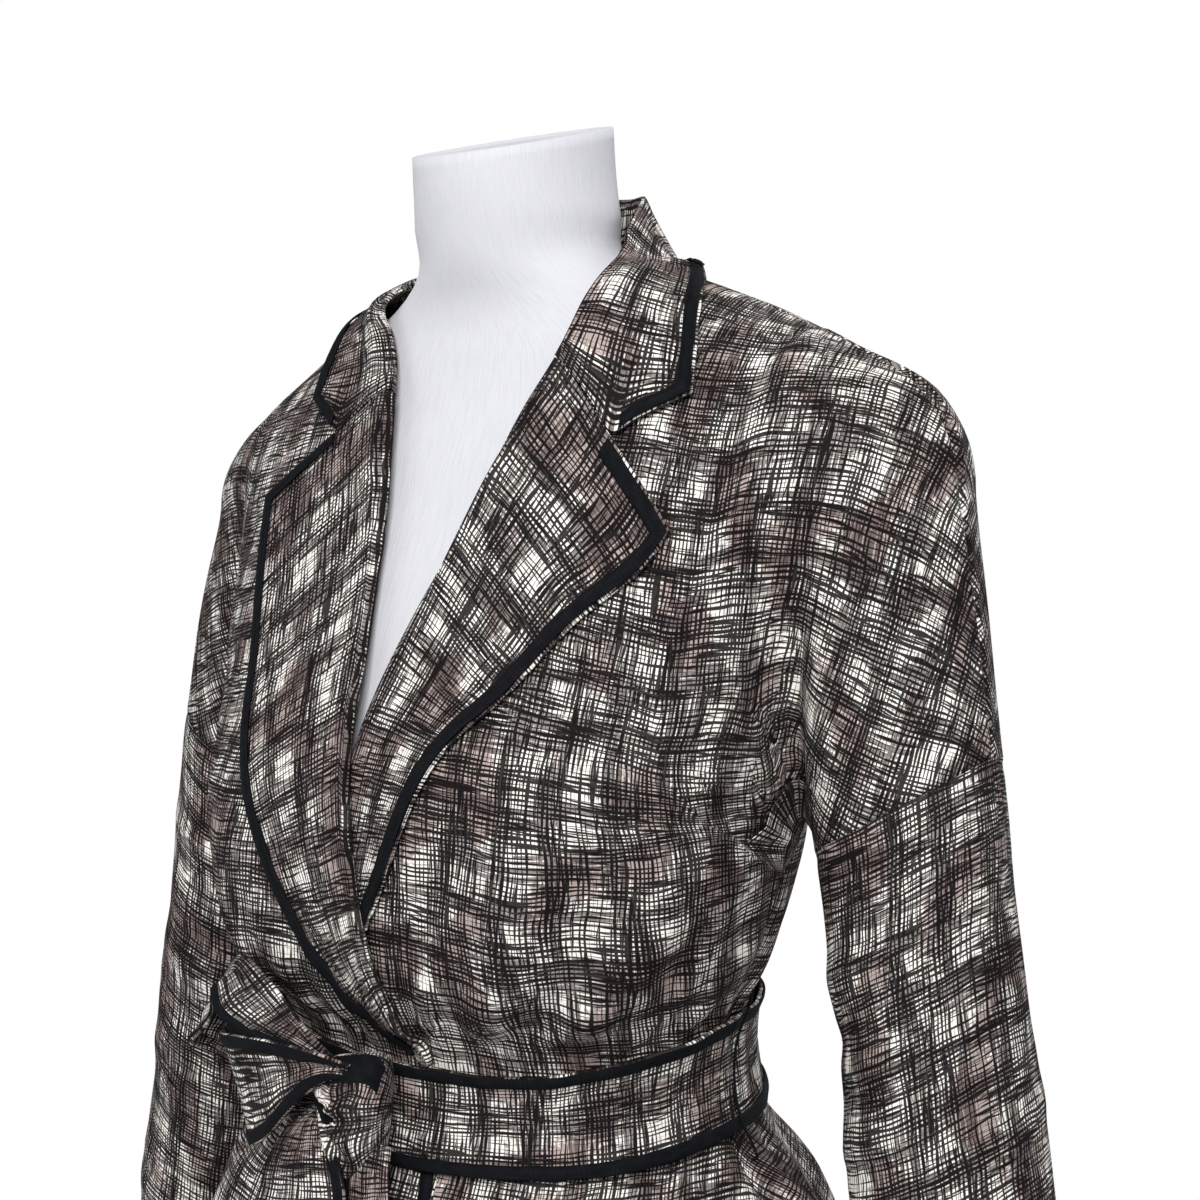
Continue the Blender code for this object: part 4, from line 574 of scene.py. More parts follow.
# ---- the figure ------------------------------------------------------------
class Figure:
    """The shared surface that all cloth lies on, and the folds that lift the cloth off it."""

    @staticmethod
    def body_field(points: Array) -> Array:
        """Roughly the distance outside a body whose level cuts are superellipses."""
        x, y, z = np.moveaxis(points, -1, 0)
        width, middle, front, back, front_square, back_square = np.moveaxis(coat_cut(z), -1, 0)
        ahead = y < middle
        depth = np.where(ahead, front, back)
        square = np.where(ahead, front_square, back_square)
        across = np.maximum(np.abs(x) / width, 1e-9)
        along = np.maximum(np.abs(y - middle) / depth, 1e-9)
        return ((across**square + along**square) ** (1.0 / square) - 1.0) * depth

    @staticmethod
    def sleeve_field(points: Array) -> Array:
        """Roughly the distance outside the sleeve tubes, with a dome at each shoulder."""
        x, y, z = np.moveaxis(points, -1, 0)
        cuts = sleeve_cut(np.minimum(z, SLEEVE_TOP_Z))
        centre_x, centre_y, across, along = np.moveaxis(cuts, -1, 0)
        off_x, off_y = (np.abs(x) - centre_x) / across, (y - centre_y) / along
        dome = np.maximum(z - SLEEVE_TOP_Z, 0.0) / across
        return (np.sqrt(off_x**2 + off_y**2 + dome**2) - 1.0) * across

    @classmethod
    def coat_field(cls, points: Array) -> Array:
        """Body and sleeves joined by a soft minimum; below the armpit the sleeves are let go."""
        body = cls.body_field(points)
        sleeve = cls.sleeve_field(points) + 0.1 * ease(1.09, 1.04, points[..., 2])
        share = np.clip(0.5 + 0.5 * (sleeve - body) / SLEEVE_BLEND, 0.0, 1.0)
        return blend(sleeve, body, share) - SLEEVE_BLEND * share * (1 - share)

    @classmethod
    def slope(cls, points: Array, step: float = 2e-4) -> Array:
        """The coat field's gradient by central differences."""
        shifts = np.eye(3) * step
        rises = [(cls.coat_field(points + s) - cls.coat_field(points - s)) / (2 * step) for s in shifts]
        return np.stack(rises, -1)

    @classmethod
    def lay(cls, points: Array, rounds: int = 12) -> tuple[Array, Array]:
        """Move points onto the figure by Newton steps along the gradient.

        Returns:
            The points on the figure and the outward unit normals there.
        """
        points = np.array(points, dtype=float)
        for _ in range(rounds):
            gradient = cls.slope(points)
            size = np.maximum(np.sum(gradient**2, -1, keepdims=True), 0.05)
            move = cls.coat_field(points)[..., None] * gradient / size
            length = np.maximum(np.linalg.norm(move, axis=-1, keepdims=True), 1e-12)
            points -= move * np.minimum(1.0, 0.02 / length)
        return points, unit(cls.slope(points))

    @staticmethod
    def line_share(px: Array, pz: Array, ends: Sequence[float]) -> tuple[Array, Array]:
        """Distance of points from a segment (x0, z0, x1, z1), and how far along it they are."""
        x0, z0, x1, z1 = ends
        run, rise = x1 - x0, z1 - z0
        share = np.clip(((px - x0) * run + (pz - z0) * rise) / (run**2 + rise**2), 0.0, 1.0)
        return np.hypot(px - x0 - share * run, pz - z0 - share * rise), share

    @staticmethod
    def ripple(points: Array) -> Array:
        """Slow unevenness of hung cloth: sine waves along slanted directions, added up."""
        x, y, z = np.moveaxis(points, -1, 0)
        lift = np.zeros_like(z)
        for size, per_x, per_y, per_z, start in RIPPLES:
            lift = lift + size * np.sin(per_x * x + per_y * y + per_z * z + start)
        return lift

    @classmethod
    def fold_height(cls, points: Array) -> Array:
        """How far the folds lift the cloth at points on the figure."""
        x, y, z = np.moveaxis(points, -1, 0)
        around = np.arctan2(x, -y)
        on_body = ease(ARMHOLE_X + 0.030, ARMHOLE_X, np.abs(x)) + ease(1.08, 1.05, z)
        lift = np.zeros_like(z)
        mean_radius = 0.14 + 0.10 * ease(0.95, 0.50, z)
        for top_angle, top, low_angle, low, width, height in BODY_FOLDS:
            rise = np.clip((z - low) / (top - low), 0.0, 1.0)
            crest = np.radians(low_angle + (top_angle - low_angle) * rise)
            off = (np.mod(around - crest + np.pi, 2 * np.pi) - np.pi) * mean_radius
            above = low > WAIST_Z
            spread = width * (1.0 + 1.1 * (rise if above else 1.0 - rise))
            fade = ease(0.0, 0.12, rise) * ease(1.0, 0.45, rise) if above else (
                ease(1.0, 0.86, rise) * ease(-0.02, 0.5, rise))
            inside = (z <= top) & (z >= low)
            lift = lift + np.where(inside, height * fade * np.exp(-(off / spread) ** 2), 0.0)
        lapel_x = np.interp(z, LAPEL_COVER_Z, LAPEL_COVER_X)
        free = np.maximum(ease(0.0, 0.025, np.abs(x) - lapel_x), ease(1.03, 0.99, z))
        lift = lift * np.clip(on_body, 0.0, 1.0) * np.where(y < 0.0, free, 1.0)
        for *ends, width, height, side in CHEST_FOLDS:
            off, share = cls.line_share(np.abs(x), z, ends)
            facing = ease(0.0, 0.02, side * (y - 0.02))
            fade = 0.35 + 0.65 * ease(0.0, 0.5, share)
            lift = lift + height * facing * fade * np.exp(-(off / width) ** 2)
        return lift + cls.ripple(points)

    @staticmethod
    def gathers(points: Array) -> Array:
        """Small pleats that the belt presses into the cloth above and below it."""
        around = np.arctan2(points[..., 0], -points[..., 1])
        z = points[..., 2]
        wander = 0.5 * np.sin(3 * around + 1.0) + 0.35 * np.sin(7 * around + 12 * z)
        wave = np.sin(31 * around + 4 * wander) * (0.6 + 0.4 * np.sin(5 * around + 0.7))
        above = ease(1.000, 1.022, z) * ease(1.110, 1.030, z)
        below = ease(0.965, 0.940, z) * ease(0.800, 0.925, z)
        return GATHER_HEIGHT * wave * (above + below)


def overlap_lift(points: Array) -> Array:
    """How far the right front stands out to pass over the left one; x grows to its side."""
    x, z = points[..., 0], points[..., 2]
    over_body = ease(0.115, 0.045, x) * ease(BREAK_Z + 0.080, BREAK_Z + 0.012, z)
    over_lapel = ease(1.012, 1.050, z) * over_body * (REST + CLOTH + BINDING_GAP)
    air = SKIRT_AIR * ease(0.93, 0.80, z)
    over_skirt = ease(0.76, 0.54, x / coat_cut(z)[..., 0]) * (LAYER + air)
    return np.where(z > 0.985, LAYER * over_body + over_lapel, over_skirt)


def no_lift(points: Array) -> Array:
    """The lift of a front that lies under the other one."""
    return np.zeros(points.shape[:-1])


def sway(points: Array) -> Array:
    """Everything above the chest leans: the wearer's left side a little up, the right down."""
    moved = points.copy()
    moved[..., 2] += SHOULDER_SWAY * points[..., 0] * ease(1.18, 1.36, points[..., 2])
    return moved


# ---- finishes --------------------------------------------------------------
class Slot(Enum):
    """The record's material slots."""

    COTTON = "printed_cotton"
    TWILL = "navy_twill"
    JERSEY = "white_jersey"
    STEEL = "satin_steel"


class NodeBoard:
    """A short way to place shader nodes and join them."""

    def __init__(self, tree: bpy.types.NodeTree) -> None:
        """Keep the node tree to work on."""
        self.tree = tree

    def add(self, kind: str, inputs: Optional[dict] = None, **settings: object) -> Node:
        """Add one node.

        Args:
            kind: Blender's node type name.
            inputs: values or output sockets by input name or index.
            settings: attributes of the node.

        Returns:
            The node.
        """
        node = self.tree.nodes.new(kind)
        for name, value in settings.items():
            setattr(node, name, value)
        self.fill(node, inputs or {})
        return node

    def fill(self, node: Node, inputs: dict) -> None:
        """Set a node's inputs, by name or index, to values, or link output sockets to them."""
        for name, value in inputs.items():
            if isinstance(value, Socket):
                self.tree.links.new(value, node.inputs[name])
            else:
                node.inputs[name].default_value = value

    def math(self, operation: str, *terms: object) -> Socket:
        """One Math node on values or sockets; returns its output."""
        return self.add("ShaderNodeMath", dict(enumerate(terms)), operation=operation).outputs[0]

    def scaled(self, vector: Socket, by: Sequence[float],
               shift: Sequence[float] = (0.0, 0.0, 0.0)) -> Socket:
        """The vector times by plus shift, axis by axis."""
        terms = {0: vector, 1: tuple(by), 2: tuple(shift)}
        return self.add("ShaderNodeVectorMath", terms, operation="MULTIPLY_ADD").outputs[0]

    def noise(self, vector: Socket, detail: float) -> Socket:
        """Noise of scale 1 on a vector; returns its value."""
        inputs = {"Vector": vector, "Scale": 1.0, "Detail": detail}
        return self.add("ShaderNodeTexNoise", inputs).outputs["Fac"]

    def step(self, value: object, low: float, high: float) -> Socket:
        """0 where value is under low, 1 where it is over high, and a smooth rise between."""
        span = {"Value": value, "From Min": low, "From Max": high}
        return self.add("ShaderNodeMapRange", span, interpolation_type="SMOOTHSTEP").outputs[0]

    def mix(self, share: object, a: object, b: object) -> Socket:
        """Colour a where share is 0 and b where it is 1, by the mix node's colour sockets."""
        return self.add("ShaderNodeMix", {0: share, 6: a, 7: b}, data_type="RGBA").outputs[2]

    def most(self, values: Sequence[Socket]) -> Socket:
        """The largest of several values."""
        return reduce(lambda one, other: self.math("MAXIMUM", one, other), values)

    def bump(self, height: object, distance: float, strength: float,
             under: Optional[Socket] = None) -> Socket:
        """The surface's normal with a height on it, over another relief if one is given."""
        node = self.add("ShaderNodeBump", {"Height": height, "Distance": distance, "Strength": strength})
        if under is not None:
            self.fill(node, {"Normal": under})
        return node.outputs[0]

    def millimetres(self) -> Socket:
        """The piece's own flat layout in millimetres."""
        return self.scaled(self.add("ShaderNodeTexCoord").outputs["UV"], (1000.0, 1000.0, 0.0))

    def weave(self, flat: Socket, across: float, along: float, shear: float) -> Socket:
        """Height of crossing threads on a layout, from their two pitches and their shear."""
        inputs = {"Vector": flat, "Across": across, "Along": along, "Shear": shear}
        return self.add("ShaderNodeGroup", inputs, node_tree=weave_group()).outputs["Height"]


def new_group(name: str, inputs: dict[str, str], outputs: dict[str, str]) -> tuple:
    """An empty shader group with named sockets.

    Args:
        name: the group's name.
        inputs: socket type by input name.
        outputs: socket type by output name.

    Returns:
        The group, a board on it, its input node and its output node.
    """
    group = bpy.data.node_groups.new(name, "ShaderNodeTree")
    for label, kind in inputs.items():
        group.interface.new_socket(label, in_out="INPUT", socket_type=kind)
    for label, kind in outputs.items():
        group.interface.new_socket(label, in_out="OUTPUT", socket_type=kind)
    board = NodeBoard(group)
    return group, board, board.add("NodeGroupInput"), board.add("NodeGroupOutput")


def weave_group() -> bpy.types.NodeTree:
    """Threads crossing at two pitches, sheared for a twill: a weighted sum of two sine waves."""
    name = "thread_weave"
    if name in bpy.data.node_groups:
        return bpy.data.node_groups[name]
    number = "NodeSocketFloat"
    inputs = {"Vector": "NodeSocketVector", "Across": number, "Along": number, "Shear": number}
    group, board, start, end = new_group(name, inputs, {"Height": number})
    parts = board.add("ShaderNodeSeparateXYZ", {0: start.outputs["Vector"]})
    u, v = parts.outputs[0], parts.outputs[1]
    slanted = board.math("MULTIPLY_ADD", v, start.outputs["Shear"], u)
    turns = [board.math("MULTIPLY", board.math("DIVIDE", value, start.outputs[pitch]), 2 * math.pi)
             for value, pitch in ((slanted, "Across"), (v, "Along"))]
    waves = [board.math("MULTIPLY_ADD", board.math("SINE", turn), 0.5, 0.5) for turn in turns]
    height = board.math("MULTIPLY_ADD", waves[0], 0.7, board.math("MULTIPLY", waves[1], 0.3))
    board.fill(end, {"Height": height})
    return group


def strokes_group() -> bpy.types.NodeTree:
    """One layer of hand-drawn parallel pen strokes along V, thick inside soft dark bands.

    U is bent by two slow noises and cut into lanes of one pitch. A lane is inked where the
    distance from its middle is under a width. The width differs from lane to lane and along
    each lane, and grows inside bands that follow a sine wave of uneven phase.
    """
    name = "pen_strokes"
    if name in bpy.data.node_groups:
        return bpy.data.node_groups[name]
    number = "NodeSocketFloat"
    group, board, start, end = new_group(
        name, {"Vector": "NodeSocketVector", "Pitch": number, "Seed": number, "Width": number,
               "Gain": number}, {"Ink": number})
    seed = board.add("ShaderNodeCombineXYZ", {2: start.outputs["Seed"]}).outputs[0]
    place = board.add("ShaderNodeVectorMath", {0: start.outputs["Vector"], 1: seed},
                      operation="ADD").outputs[0]
    axes = board.add("ShaderNodeSeparateXYZ", {0: start.outputs["Vector"]})
    u, v = axes.outputs[0], axes.outputs[1]
    wide = board.noise(board.scaled(place, (0.026, 0.024, 7.3)), 1.5)
    jitter = board.noise(board.scaled(place, (0.16, 0.050, 3.1)), 1.0)
    bent = board.math("ADD", board.math("MULTIPLY_ADD", wide, 5.0, u), board.math("MULTIPLY", jitter, 2.6))
    lanes = board.math("DIVIDE", bent, start.outputs["Pitch"])
    lane = board.math("ADD", board.math("FLOOR", lanes), start.outputs["Seed"])
    off = board.math("MULTIPLY", board.math("ABSOLUTE", board.math("SUBTRACT", board.math(
        "FRACT", lanes), 0.5)), 2.0)
    own = board.add("ShaderNodeTexWhiteNoise", {"W": lane}, noise_dimensions="1D").outputs["Value"]
    along = board.add("ShaderNodeCombineXYZ", {0: board.math("MULTIPLY", lane, 2.73),
                                               1: board.math("MULTIPLY", v, 0.045)}).outputs[0]
    ends = board.noise(along, 1.5)
    uneven = board.noise(board.scaled(place, (0.020, 0.014, 1.7)), 1.5)
    wave = board.math("SINE", board.math("MULTIPLY", board.math("MULTIPLY_ADD", uneven, BAND_DRIFT, u),
                                         2 * math.pi / BAND_PITCH))
    band = board.step(board.math("MULTIPLY_ADD", ends, 0.9, wave), *BAND_EDGES)
    width = board.math("MULTIPLY_ADD", band, start.outputs["Gain"], start.outputs["Width"])
    width = board.math("ADD", width, board.math("MULTIPLY_ADD", own, 0.46, -0.23))
    width = board.math("ADD", width, board.math("MULTIPLY_ADD", ends, 1.5, -0.75))
    width = board.math("MINIMUM", width, 0.93)
    ink = board.step(board.math("SUBTRACT", width, off), -0.10, 0.10)
    board.fill(end, {"Ink": ink})
    return group


def new_material(name: str) -> tuple:
    """An empty node material; returns it, a board on it and its Principled shader."""
    material = bpy.data.materials.new(name)
    material.use_nodes = True
    return material, NodeBoard(material.node_tree), material.node_tree.nodes["Principled BSDF"]


@dataclass(frozen=True)
class Finish:
    """One kind of surface: a slot of the record and the looks that the scene gives it."""

    slot: Slot

    def material(self) -> bpy.types.Material:
        """The finish as a material, which is made once."""
        name = self.slot.value + "_looks"
        if name not in bpy.data.materials:
            material, board, shader = new_material(name)
            material.diffuse_color = self.paint(board, shader)
        return bpy.data.materials[name]

    def paint(self, board: NodeBoard, shader: Node) -> tuple:
        """Build the looks on a shader; returns the plain colour for views without nodes."""
        raise NotImplementedError


@dataclass(frozen=True)
class PrintedCotton(Finish):
    """Cotton printed with an inked crosshatch check on cream, with taupe patches."""

    slot: Slot = Slot.COTTON
    cream: tuple = (0.95, 0.91, 0.84, 1.0)
    taupe: tuple = (0.37, 0.285, 0.26, 1.0)
    black: tuple = (0.0042, 0.0030, 0.0036, 1.0)
    brown: tuple = (0.085, 0.060, 0.057, 1.0)
    plain: tuple = (0.16, 0.13, 0.115, 1.0)
    roughness: float = 0.82

    def paint(self, board: NodeBoard, shader: Node) -> tuple:
        """Taupe patches on the cream, brown strokes over them and black ones on top."""
        flat = board.millimetres()
        swap = board.add("ShaderNodeSeparateXYZ", {0: flat})
        crossed = board.add("ShaderNodeCombineXYZ", {0: swap.outputs[1], 1: swap.outputs[0]}).outputs[0]
        tilted = [board.add("ShaderNodeMapping", {"Vector": vector, "Rotation": (0.0, 0.0, turn)}).outputs[0]
                  for vector, turn in zip((flat, crossed), STROKE_TILTS)]
        ways = (flat, crossed, *tilted)
        main, under = (board.most([self.strokes(board, ways[way], *numbers) for way, *numbers in layers])
                       for layers in (BLACK_STROKES, BROWN_STROKES))
        spots = board.noise(board.scaled(flat, (0.034, 0.022, 0.0), (5.0, 9.0, 3.0)), 0.5)
        blotch = board.noise(board.scaled(flat, (0.35, 0.35, 0.0)), 2.0)
        patch = board.step(board.math("MULTIPLY_ADD", blotch, 0.35, spots), 0.69, 0.76)
        ground = board.mix(board.math("MULTIPLY", patch, 0.9), self.cream, self.taupe)
        inked = board.mix(board.math("MULTIPLY", under, 0.80), ground, self.brown)
        colour = board.mix(board.math("MULTIPLY", main, 0.97), inked, self.black)
        rumple = board.noise(board.scaled(flat, (0.055, 0.040, 0.0)), 3.0)
        slow = board.bump(rumple, 0.0035, 0.55)
        threads = board.bump(board.weave(flat, 0.62, 0.62, 0.0), 0.00012, 0.7, slow)
        board.fill(shader, {"Base Color": colour, "Normal": threads, "Roughness": self.roughness,
                            "Specular IOR Level": 0.06})
        return self.plain

    @staticmethod
    def strokes(board: NodeBoard, vector: Socket, seed: float, pitch: float, width: float,
                gain: float) -> Socket:
        """The ink of one layer of pen strokes on a vector."""
        inputs = {"Vector": vector, "Pitch": pitch, "Seed": seed, "Width": width, "Gain": gain}
        return board.add("ShaderNodeGroup", inputs, node_tree=strokes_group()).outputs["Ink"]


@dataclass(frozen=True)
class NavyTwill(Finish):
    """Near-black navy twill tape with a diagonal rib."""

    slot: Slot = Slot.TWILL
    deep: tuple = (0.0022, 0.0024, 0.0034, 1.0)
    worn: tuple = (0.0100, 0.0112, 0.0150, 1.0)
    roughness: float = 0.72

    def paint(self, board: NodeBoard, shader: Node) -> tuple:
        """Ribs that are paler where they are worn."""
        flat = board.millimetres()
        ribs = board.weave(flat, 0.85, 2.4, 0.7)
        dust = board.noise(board.scaled(flat, (0.35, 0.12, 0.0)), 3.0)
        share = board.math("MULTIPLY", ribs, board.step(dust, 0.25, 0.8))
        board.fill(shader, {"Base Color": board.mix(share, self.deep, self.worn),
                            "Normal": board.bump(ribs, 0.0002, 0.9), "Roughness": self.roughness,
                            "Specular IOR Level": 0.10})
        return self.worn


@dataclass(frozen=True)
class WhiteJersey(Finish):
    """The form's white knitted cover, with a faint upright rib."""

    slot: Slot = Slot.JERSEY
    white: tuple = (0.63, 0.63, 0.66, 1.0)
    shade: tuple = (0.57, 0.57, 0.60, 1.0)
    roughness: float = 0.9

    def paint(self, board: NodeBoard, shader: Node) -> tuple:
        """Ribs and slubs, a little darker than the cover."""
        flat = board.millimetres()
        slub = board.noise(board.scaled(flat, (0.9, 0.05, 0.0)), 2.0)
        ribs = board.math("MULTIPLY", board.weave(flat, 1.25, 0.9, 0.0), 0.4)
        share = board.math("MULTIPLY_ADD", board.step(slub, 0.35, 0.75), 0.6, ribs)
        board.fill(shader, {"Base Color": board.mix(share, self.white, self.shade),
                            "Normal": board.bump(share, 0.00025, 0.6), "Roughness": self.roughness,
                            "Specular IOR Level": 0.2, "Sheen Weight": 0.2})
        return self.white


@dataclass(frozen=True)
class SatinSteel(Finish):
    """Brushed steel of the stand, with faint rings of wear."""

    slot: Slot = Slot.STEEL
    bright: tuple = (0.60, 0.60, 0.61, 1.0)
    dull: tuple = (0.42, 0.42, 0.43, 1.0)

    def paint(self, board: NodeBoard, shader: Node) -> tuple:
        """Fine rings and cloudy wear on Object coordinates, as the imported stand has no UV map."""
        place = board.add("ShaderNodeTexCoord").outputs["Object"]
        brushed = board.noise(board.scaled(place, (14.0, 14.0, 420.0)), 3.0)
        worn = board.noise(board.scaled(place, (22.0, 22.0, 22.0)), 4.0)
        board.fill(shader, {"Base Color": board.mix(board.step(worn, 0.35, 0.7), self.bright, self.dull),
                            "Roughness": board.math("MULTIPLY_ADD", brushed, 0.2, 0.22),
                            "Normal": board.bump(brushed, 0.0002, 0.15), "Metallic": 1.0})
        return self.bright


# ---- meshes ----------------------------------------------------------------
@dataclass
class Patch:
    """A grid of points with its flat layout in metres."""

    points: Array
    uv: Array


def laid_out(points: Array) -> Patch:
    """A grid whose flat layout is its own running length across and along, averaged."""
    across = arc_length(points, 1).mean(axis=0)[None, :]
    along = arc_length(points, 0).mean(axis=1)[:, None]
    return Patch(points, np.stack(np.broadcast_arrays(across, along), -1))


def flattened(points: Array, flat: Array, real: Array, rounds: int = 450, haste: float = 1.7) -> Array:
    """Let a grid out flat: move its layout until its edges and diagonals have their lengths.

    Each round moves every point by the mean of what its edges, its diagonals and its spans of
    four cells ask, and each of them asks both its ends for half of what it lacks.

    Args:
        points: the grid in space.
        flat: a first layout, shape (rows, columns, 2).
        real: which of the points belong to the piece.
        rounds: how often to repeat.
        haste: factor on each move, over 1 to settle sooner.

    Returns:
        The layout in metres.
    """
    flat = flat.copy()
    steps = [(slice(None, -1), slice(1, None), slice(None), slice(None)),
             (slice(None), slice(None), slice(None, -1), slice(1, None)),
             (slice(None, -1), slice(1, None), slice(None, -1), slice(1, None)),
             (slice(1, None), slice(None, -1), slice(None, -1), slice(1, None)),
             (slice(None, -4), slice(4, None), slice(None), slice(None)),
             (slice(None), slice(None), slice(None, -4), slice(4, None))]
    edges = []
    for a, b, c, d in steps:
        length = np.linalg.norm(points[a, c] - points[b, d], axis=-1)
        edges.append(((a, c), (b, d), length, (real[a, c] & real[b, d]).astype(float)))
    count = np.full(real.shape, 1e-9)
    for low, high, _, weight in edges:
        count[low] += weight
        count[high] += weight
    for _ in range(rounds):
        move = np.zeros_like(flat)
        for low, high, length, weight in edges:
            gap = flat[high] - flat[low]
            now = np.maximum(np.linalg.norm(gap, axis=-1), 1e-9)
            pull = gap * (weight * (now - length) / now * 0.5)[..., None]
            move[low] += pull
            move[high] -= pull
        flat += haste * move / count[..., None]
    return flat


def grid_quads(shape: Sequence[int], start: int = 0) -> Array:
    """Corner indices of a grid's cells, its points numbered row by row from start."""
    index = np.arange(shape[0] * shape[1]).reshape(shape[0], shape[1]) + start
    return np.stack([index[:-1, :-1], index[:-1, 1:], index[1:, 1:], index[1:, :-1]], -1).reshape(-1, 4)


class Piece:
    """One finished piece of the scene, made from patches that share their edge points."""

    def __init__(self, name: str, patches: Sequence[Patch], wall: float = 0.0, offset: float = 1.0,
                 shift: float = 0.0) -> None:
        """Weave the patches into one mesh with a UV map, and give it a wall.

        Args:
            name: the piece's name.
            patches: grids whose shared points coincide.
            wall: thickness of the Solidify modifier, or 0 for none.
            offset: the side on which the wall lies, 1 for the outer one.
            shift: where on the roll of cloth the piece is cut, in metres both ways.
        """
        grids = [sway(patch.points) for patch in patches]
        points = np.concatenate([grid.reshape(-1, 3) for grid in grids])
        uv = np.concatenate([patch.uv.reshape(-1, 2) for patch in patches]) + shift
        starts = np.cumsum([0] + [grid[..., 0].size for grid in grids])
        quads = np.concatenate([grid_quads(grid.shape, start) for grid, start in zip(grids, starts)])
        keys = np.round(points / 1e-5).astype(np.int64)
        _, first, merged = np.unique(keys, axis=0, return_index=True, return_inverse=True)
        welded = merged.reshape(-1)[quads]
        twin = welded == np.roll(welded, -1, axis=1)
        full = ~twin.any(axis=1)
        bent = twin.sum(axis=1) == 1
        corner = np.argmax(twin[bent], axis=1)
        order = (corner[:, None] + np.arange(1, 4)[None, :]) % 4
        threes = np.take_along_axis(welded[bent], order, axis=1)
        source = np.concatenate([quads[full].ravel(), np.take_along_axis(quads[bent], order, axis=1).ravel()])
        mesh = bpy.data.meshes.new(name)
        mesh.from_pydata(points[first], [], welded[full].tolist() + threes.tolist())
        layer = mesh.uv_layers.new(name="flat")
        layer.data.foreach_set("uv", uv[source].ravel())
        mesh.shade_smooth()
        self.object = bpy.data.objects.new(name, mesh)
        bpy.context.scene.collection.objects.link(self.object)
        if wall:
            shell = self.object.modifiers.new("wall", "SOLIDIFY")
            shell.thickness, shell.offset, shell.use_even_offset = wall, offset, False
        spread = uv.max(axis=0) - uv.min(axis=0)
        a, b, c, d = (uv[quads[:, k]] for k in range(4))
        cross = (c - a)[:, 0] * (d - b)[:, 1] - (c - a)[:, 1] * (d - b)[:, 0]
        self.flat = (float(spread[0]), float(spread[1]))
        self.area = float(np.abs(cross).sum() / 2)

    def dress(self, finish: Finish) -> "Piece":
        """Give the piece its finish, as a material named after its record slot, and let it ride on the one
        body.
        """
        material = finish.material()
        self.object.data.materials.append(material)
        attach(self.object, "root")
        LOG.info("%s: %d faces, %s", self.object.name, len(self.object.data.polygons), material.name)
        return self

    def stands_for(self, *nodes: str) -> "Piece":
        """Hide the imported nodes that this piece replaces."""
        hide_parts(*nodes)
        return self

    def cloth(self, held: str, rests_on: Sequence[str], trims: Sequence["Piece"] = ()) -> "Piece":
        return self


def inset_line(grid: Array, inset: Array) -> Array:
    """The line that runs at some distance from a grid's first column, measured along its rows."""
    run, rows = arc_length(grid, 1), np.arange(len(grid))
    inset = np.broadcast_to(inset, (len(grid),))
    column = np.argmax(run > inset[:, None], axis=1)
    low, high = run[rows, column - 1], run[rows, column]
    share = ((inset - low) / (high - low))[:, None]
    return blend(grid[rows, column - 1], grid[rows, column], share)


def dome(share: Array) -> Array:
    """Height of a tape's ribs over its width, 0 to 1: the square root of a sine."""
    return np.sqrt(np.sin(np.pi * np.clip(share, 0.02, 0.98)))


def tape(name: str, outer: Array, inner: Array, normals: Array, air: float) -> Piece:
    """A binding between two lines: a dome, less a narrow bell curve for its stitched groove.

    Args:
        name: the piece's name.
        outer: the line at the free edge.
        inner: the line inside it.
        normals: outward normals along the two.
        air: gap between the cloth's outer face and the binding.
    """
    share = np.linspace(0.0, 1.0, TAPE_COLUMNS)[None, :, None]
    rise = TAPE_DOME * dome(share) - TAPE_GROOVE * np.exp(-((share - 0.78) / 0.06) ** 2)
    points = blend(inner[:, None], outer[:, None], share) + normals[:, None] * (CLOTH + air + rise)
    return Piece(name, [laid_out(points)], BINDING)


def stitches(name: str, line: Array, normals: Array, air: float) -> Piece:
    """Short threads along a line: flat five-sided beads at one pitch.

    Args:
        name: the piece's name.
        line: points of the seam, on the cloth's inner face.
        normals: outward normals there.
        air: height of the threads' middle over the cloth's outer face.
    """
    run = arc_length(line[None], 1)[0]
    count = int(run[-1] / STITCH_PITCH)
    place = (np.arange(count) + 0.5) * STITCH_PITCH
    beads = np.array([-0.5, -0.3, 0.3, 0.5]) * STITCH_LENGTH
    thick = np.array([0.25, 1.0, 1.0, 0.25])

    def read(values: Array, at: Array) -> Array:
        """Values along the line, read at running lengths."""
        return np.stack([np.interp(at, run, column) for column in values.T], -1)

    centre = read(line, place[:, None] + beads[None, :])
    normal = unit(read(normals, place[:, None] + beads[None, :]))
    along = unit(np.gradient(centre, axis=1))
    side = np.cross(along, normal)
    turn = np.linspace(0.0, 2 * np.pi, 6)
    ring = (side[:, :, None] * np.cos(turn)[:, None] * STITCH_WIDTH / 2
            + normal[:, :, None] * np.sin(turn)[:, None] * STITCH_HEIGHT) * thick[None, :, None, None]
    grid = centre[:, :, None] + normal[:, :, None] * (CLOTH + air) + ring
    return Piece(name, [laid_out(bead) for bead in grid])


